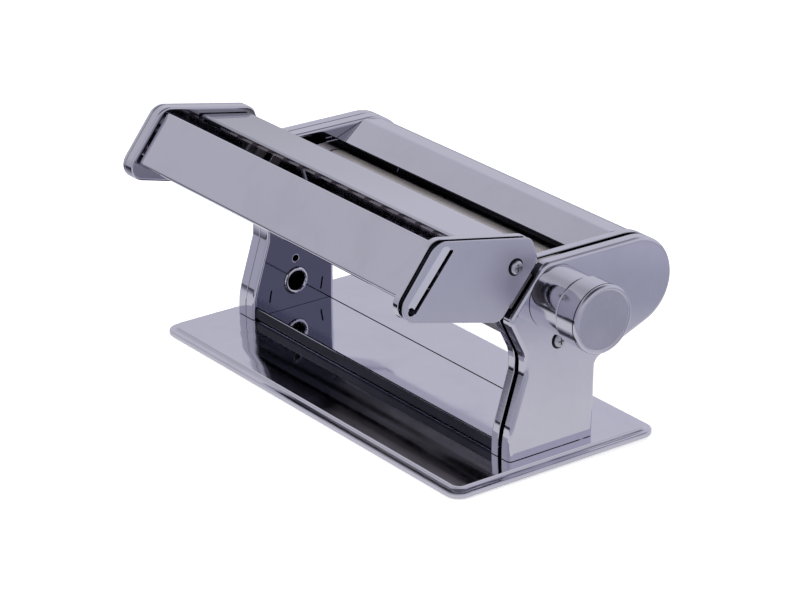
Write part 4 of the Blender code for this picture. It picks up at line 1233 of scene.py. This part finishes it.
class PASTA_OT_head_shell(bpy.types.Operator):
    """The cutter head's end caps, screws and panels."""
    bl_idname = "pasta.head_shell"
    bl_label = "Cutter head's shell"

    def execute(self, context):
        outline = filleted(CAP_CORNERS, closed=True)
        for side in ("left", "right"):
            self.make_inner_cap(side, outline)
            self.make_outer_cap(side, outline)
            make_screw(f"{side}_cap_screw_head", f"head_{side}_screw", "cutter_head",
                       side_x(side, CAP_OUTER_X), side_x(side, CAP_OUTER_X - 5), CAP_SCREW,
                       CAP_SCREW_RADIUS)
        self.make_panels()
        steel = context.scene.pasta_finish.steel
        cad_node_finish("head_tie_bar", turned_metal("head_bar_steel", steel, HEAD_BAR))
        for node in ("front_comb", "rear_comb"):
            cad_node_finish(node, inside_and_painted_shade())
        rail = turned_metal("rail_steel", darker(steel, 0.5), (0.0, 0.0), 0.35, 0.3, 700.0)
        for node in ("left_head_rail", "right_head_rail", "head_left_shoe", "head_right_shoe"):
            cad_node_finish(node, rail)
        return {"FINISHED"}

    def make_inner_cap(self, side, outline):
        out = side_x(side, 1.0)
        plate, rim = side_x(side, CAP_INNER_X), side_x(side, CAP_SEAM_X - seam_width(side) / 2)
        bm = shell(outline, True, edge_steps(rim, plate, INNER_CAP_EDGE), back_steps(plate, rim), 2)
        near, far = plate - out * 3, plate + out * 3
        cutters = [drill(axis, CUTTER_HOLE_RADIUS, near, far, 32)
                   for axis in (CUTTER_FRONT_AXIS, CUTTER_REAR_AXIS)]
        piece(f"{side}_inner_cap_shell", bm, (chrome(), inside_and_painted_shade(), painted_shade_chrome()),
              "cutter_head", [f"head_{side}_inner_cap"], cutters)

    def make_outer_cap(self, side, outline):
        out = side_x(side, 1.0)
        plate, rim = side_x(side, CAP_OUTER_X), side_x(side, CAP_SEAM_X + seam_width(side) / 2)
        inner = [(plate - out * OUTER_CAP_SHEET, 1.8), (rim, 1.2)]
        bm = shell(outline, True, edge_steps(rim, plate, OUTER_CAP_EDGE, 6), inner, 2)
        near, far = plate - out * 3, plate + out * 2
        groove = prism(groove_outline(RECESS_HALF, 0.7), plate - out * 0.6, far)
        # the recess takes the near-white finish: a painted highlight
        for face in groove.faces:
            face.material_index = 3
        slit = prism(groove_outline(SLIT_HALF, -1.9), near, far)
        end = drill(GROOVE_FOOT, SLIT_END_RADIUS, near, far, 24)
        cutters = [groove, slit, end] + screw_seat(CAP_SCREW, plate, out, near)
        if side == "left":
            cutters.append(drill(CUTTER_REAR_AXIS, CUTTER_WINDOW_RADIUS, near, far))
        finishes = (chrome(), inside_and_painted_shade(), satin_chrome(), groove_painted_highlight())
        piece(f"{side}_outer_cap_shell", bm, finishes, "cutter_head",
              [f"head_{side}_outer_cap"], cutters)

    def make_panels(self):
        """The two long sheets between the caps, on each side of the feed slot."""
        half_span = CAP_INNER_X - PANEL_CLEAR
        for name, node, corners, finish in (
            ("head_front_sheet", "head_front_panel", FRONT_PANEL, chrome()),
            ("head_middle_sheet", "head_middle_panel", MIDDLE_PANEL, painted_shade_panel_chrome()),
        ):
            bm = prism(band(filleted(corners), SHEET), -half_span, half_span)
            piece(name, bm, (finish,), "cutter_head", [node], crease=30, bevel=0.2)


def groove_outline(half_width, shift):
    """The long pressed slot near the outer cap's front edge, or a strip to one side of its middle."""
    foot, head = Vector(GROOVE_FOOT), Vector(GROOVE_HEAD)
    along = (head - foot).normalized()
    side = Vector((-along.y, along.x))
    foot, head, across = foot + side * shift, head + side * shift, side * half_width
    corners = (foot - across, head - across, head + across, foot + across)
    return filleted([(*corner, half_width * 0.9) for corner in corners], closed=True)


class PASTA_OT_cutters(bpy.types.Operator):
    """The two ringed cutter rollers with their gears and crank socket."""
    bl_idname = "pasta.cutters"
    bl_label = "Cutter rollers"

    def execute(self, context):
        finish = context.scene.pasta_finish
        rings = {
            "front": (CUTTER_FRONT_AXIS, [k * RING_PITCH for k in range(-7, 8)]),
            "rear": (CUTTER_REAR_AXIS, [(k + 0.5) * RING_PITCH for k in range(-7, 7)]),
        }
        journal, left, right = CUTTER_JOURNAL
        for name, (axis, middles) in rings.items():
            profile = [(left, journal), (-CUTTER_BARREL_X, journal), (-CUTTER_BARREL_X, GROOVE_RADIUS)]
            for middle in middles:
                low, high = middle - RING_WIDTH / 2, middle + RING_WIDTH / 2
                profile += [(low, GROOVE_RADIUS), (low + RING_CHAMFER, CUTTER_RADIUS)]
                profile += [(high - RING_CHAMFER, CUTTER_RADIUS), (high, GROOVE_RADIUS)]
            profile += [(CUTTER_BARREL_X, GROOVE_RADIUS), (CUTTER_BARREL_X, journal), (right, journal)]
            steel = turned_metal(f"{name}_cutter_steel", finish.steel, axis, 0.2, 0.25, 1600.0)
            piece(f"{name}_ringed_cutter", turned(profile, axis, 64), (steel,), f"{name}_cutter",
                  [f"{name}_cutter"], crease=35)
            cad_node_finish(f"{name}_cutter_gear",
                           turned_metal(f"{name}_cutter_gear_steel", finish.gear, axis, 0.3, 0.4))
        make_socket("cutter_crank_end", "cutter_crank_socket", "rear_cutter", CUTTER_REAR_AXIS,
                    finish.gear, (-113.4, -107.8), 6.2, 4.0, -109.0)
        return {"FINISHED"}


class PASTA_PT_panel(bpy.types.Panel):
    """Lists the machine's settings and its pieces."""
    bl_idname = "PASTA_PT_panel"
    bl_label = "Pasta roller machine"
    bl_space_type = "VIEW_3D"
    bl_region_type = "UI"
    bl_category = "Pasta"

    def draw(self, context):
        scene = context.scene
        for title, settings in (("Finish", scene.pasta_finish), ("Shape", scene.pasta_shape),
                                ("Stage", scene.pasta_stage)):
            box = self.layout.box()
            box.label(text=title)
            for key in settings.__annotations__:
                box.prop(settings, key)
        for operator in OPERATORS:
            self.layout.operator(operator.bl_idname)


SETTINGS = {"pasta_finish": FinishSettings, "pasta_shape": ShapeSettings, "pasta_stage": StageSettings}
OPERATORS = (
    PASTA_OT_stage, PASTA_OT_base, PASTA_OT_housings, PASTA_OT_body_panels, PASTA_OT_rollers,
    PASTA_OT_setting_knob, PASTA_OT_head_shell, PASTA_OT_cutters,
)


def register():
    for name, settings in SETTINGS.items():
        bpy.utils.register_class(settings)
        setattr(bpy.types.Scene, name, PointerProperty(type=settings))
    for operator in OPERATORS:
        bpy.utils.register_class(operator)
    bpy.utils.register_class(PASTA_PT_panel)


def unregister():
    bpy.utils.unregister_class(PASTA_PT_panel)
    for operator in reversed(OPERATORS):
        bpy.utils.unregister_class(operator)
    for name, settings in SETTINGS.items():
        delattr(bpy.types.Scene, name)
        bpy.utils.unregister_class(settings)


def main():
    register()
    bpy.ops.pasta.stage()
    bpy.ops.pasta.base()
    bpy.ops.pasta.housings()
    bpy.ops.pasta.body_panels()
    bpy.ops.pasta.rollers()
    bpy.ops.pasta.setting_knob()
    bpy.ops.pasta.head_shell()
    bpy.ops.pasta.cutters()


if __name__ == "__main__":
    main()
